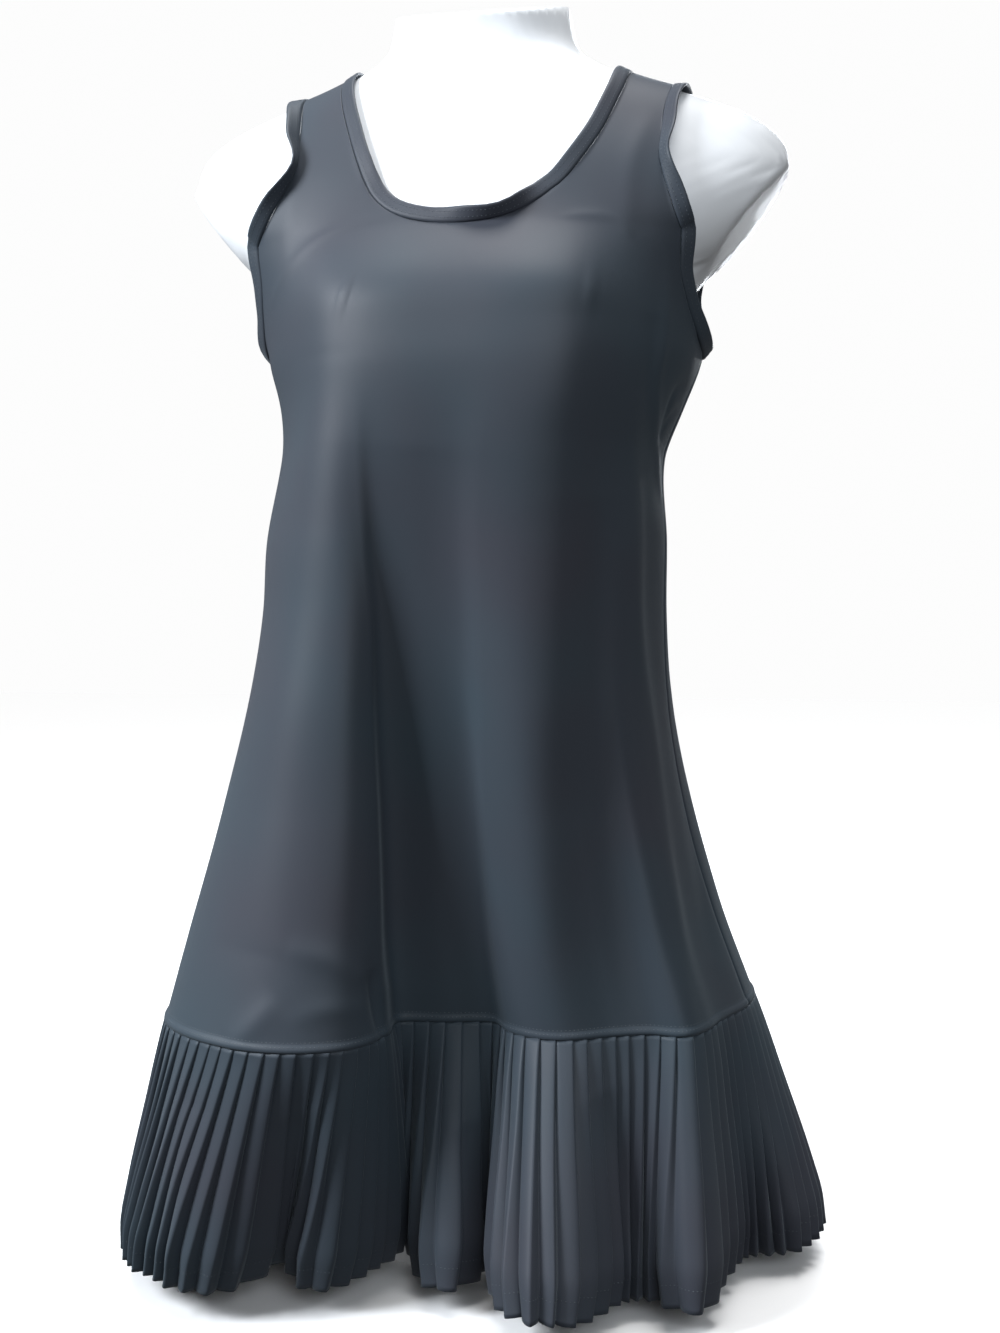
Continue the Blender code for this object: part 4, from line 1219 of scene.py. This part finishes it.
class TennisDressLights(bpy.types.PropertyGroup):
    floor: bpy.props.FloatVectorProperty(
        name="Floor", description="The studio floor", subtype="COLOR", default=hex_colour("#f2f2f2"))
    ambient: bpy.props.FloatProperty(
        name="Ambient", description="Strength of the even light all round", default=0.12)
    backdrop: bpy.props.FloatProperty(
        name="Backdrop", description="Brightness of the plain backdrop", default=0.98)
    key: bpy.props.FloatProperty(
        name="Key", description="The front left softbox", default=80.0, unit="POWER")
    top: bpy.props.FloatProperty(
        name="Top", description="The overhead light, which lights the floor", default=3.2)
    fill: bpy.props.FloatProperty(
        name="Fill", description="The front right softbox", default=26.0, unit="POWER")
    back: bpy.props.FloatProperty(
        name="Back", description="The softbox behind", default=40.0, unit="POWER")
    tint: bpy.props.FloatVectorProperty(
        name="Tint", description="Colour of the softboxes", subtype="COLOR",
        default=hex_colour("#f4f9ff"))


class TENNISDRESS_OT_form(bpy.types.Operator):
    """Builds the white torso form that carries the dress"""
    bl_idname = "tennis_dress.form"
    bl_label = "Torso Form"

    def execute(self, context):
        build_form(context.scene.tennis_dress_sizes, context.scene.tennis_dress_colours)
        return {"FINISHED"}


class TENNISDRESS_OT_body(bpy.types.Operator):
    """Builds the front and the back of the dress down to the flounce seam"""
    bl_idname = "tennis_dress.body"
    bl_label = "Body"

    def execute(self, context):
        sizes = context.scene.tennis_dress_sizes
        colours = context.scene.tennis_dress_colours
        build_body(-1, "front_body_cloth", "front_body", sizes, colours)
        build_body(1, "back_body_cloth", "back_body", sizes, colours)
        return {"FINISHED"}


class TENNISDRESS_OT_bindings(bpy.types.Operator):
    """Builds the folded bindings of the neck and both armholes"""
    bl_idname = "tennis_dress.bindings"
    bl_label = "Bindings"

    def execute(self, context):
        build_bindings(context.scene.tennis_dress_colours, context.scene.tennis_dress_sizes)
        return {"FINISHED"}


class TENNISDRESS_OT_flounce(bpy.types.Operator):
    """Builds the knife-pleated flounce, front and back"""
    bl_idname = "tennis_dress.flounce"
    bl_label = "Flounce"

    def execute(self, context):
        sizes = context.scene.tennis_dress_sizes
        colours = context.scene.tennis_dress_colours
        build_flounce(0, "flounce_front_cloth", "flounce_front", sizes, colours)
        build_flounce(1, "flounce_back_cloth", "flounce_back", sizes, colours)
        return {"FINISHED"}


class TENNISDRESS_OT_stitching(bpy.types.Operator):
    """Sews the coverstitch rows of the body and the bindings and the flounce's hem"""
    bl_idname = "tennis_dress.stitching"
    bl_label = "Stitching"

    def execute(self, context):
        build_stitching(context.scene.tennis_dress_sizes, context.scene.tennis_dress_colours)
        return {"FINISHED"}


class TENNISDRESS_OT_stage(bpy.types.Operator):
    """Sets up the pale floor, the soft lights and the camera"""
    bl_idname = "tennis_dress.stage"
    bl_label = "Stage"

    def execute(self, context):
        build_stage(context.scene.tennis_dress_lights)
        return {"FINISHED"}


OPERATORS = (TENNISDRESS_OT_form, TENNISDRESS_OT_body, TENNISDRESS_OT_bindings,
             TENNISDRESS_OT_flounce, TENNISDRESS_OT_stitching, TENNISDRESS_OT_stage)
GROUPS = {"tennis_dress_sizes": TennisDressSizes, "tennis_dress_colours": TennisDressColours,
          "tennis_dress_lights": TennisDressLights}


class TENNISDRESS_PT_panel(bpy.types.Panel):
    """Lists the dress's pieces, sizes, colours and lights"""
    bl_idname = "TENNISDRESS_PT_panel"
    bl_label = "Tennis Dress"
    bl_space_type = "VIEW_3D"
    bl_region_type = "UI"
    bl_category = "Tennis Dress"

    def draw(self, context):
        for operator in OPERATORS:
            self.layout.operator(operator.bl_idname)
        for group in GROUPS:
            settings = getattr(context.scene, group)
            for name in settings.__annotations__:
                self.layout.prop(settings, name)


def register():
    for group, kind in GROUPS.items():
        bpy.utils.register_class(kind)
        setattr(bpy.types.Scene, group, bpy.props.PointerProperty(type=kind))
    for kind in OPERATORS + (TENNISDRESS_PT_panel,):
        bpy.utils.register_class(kind)


def unregister():
    for kind in reversed(OPERATORS + (TENNISDRESS_PT_panel,)):
        bpy.utils.unregister_class(kind)
    for group, kind in GROUPS.items():
        delattr(bpy.types.Scene, group)
        bpy.utils.unregister_class(kind)


def main():
    register()
    bpy.ops.tennis_dress.form()
    bpy.ops.tennis_dress.body()
    bpy.ops.tennis_dress.bindings()
    bpy.ops.tennis_dress.flounce()
    bpy.ops.tennis_dress.stitching()
    bpy.ops.tennis_dress.stage()


if __name__ == "__main__":
    main()
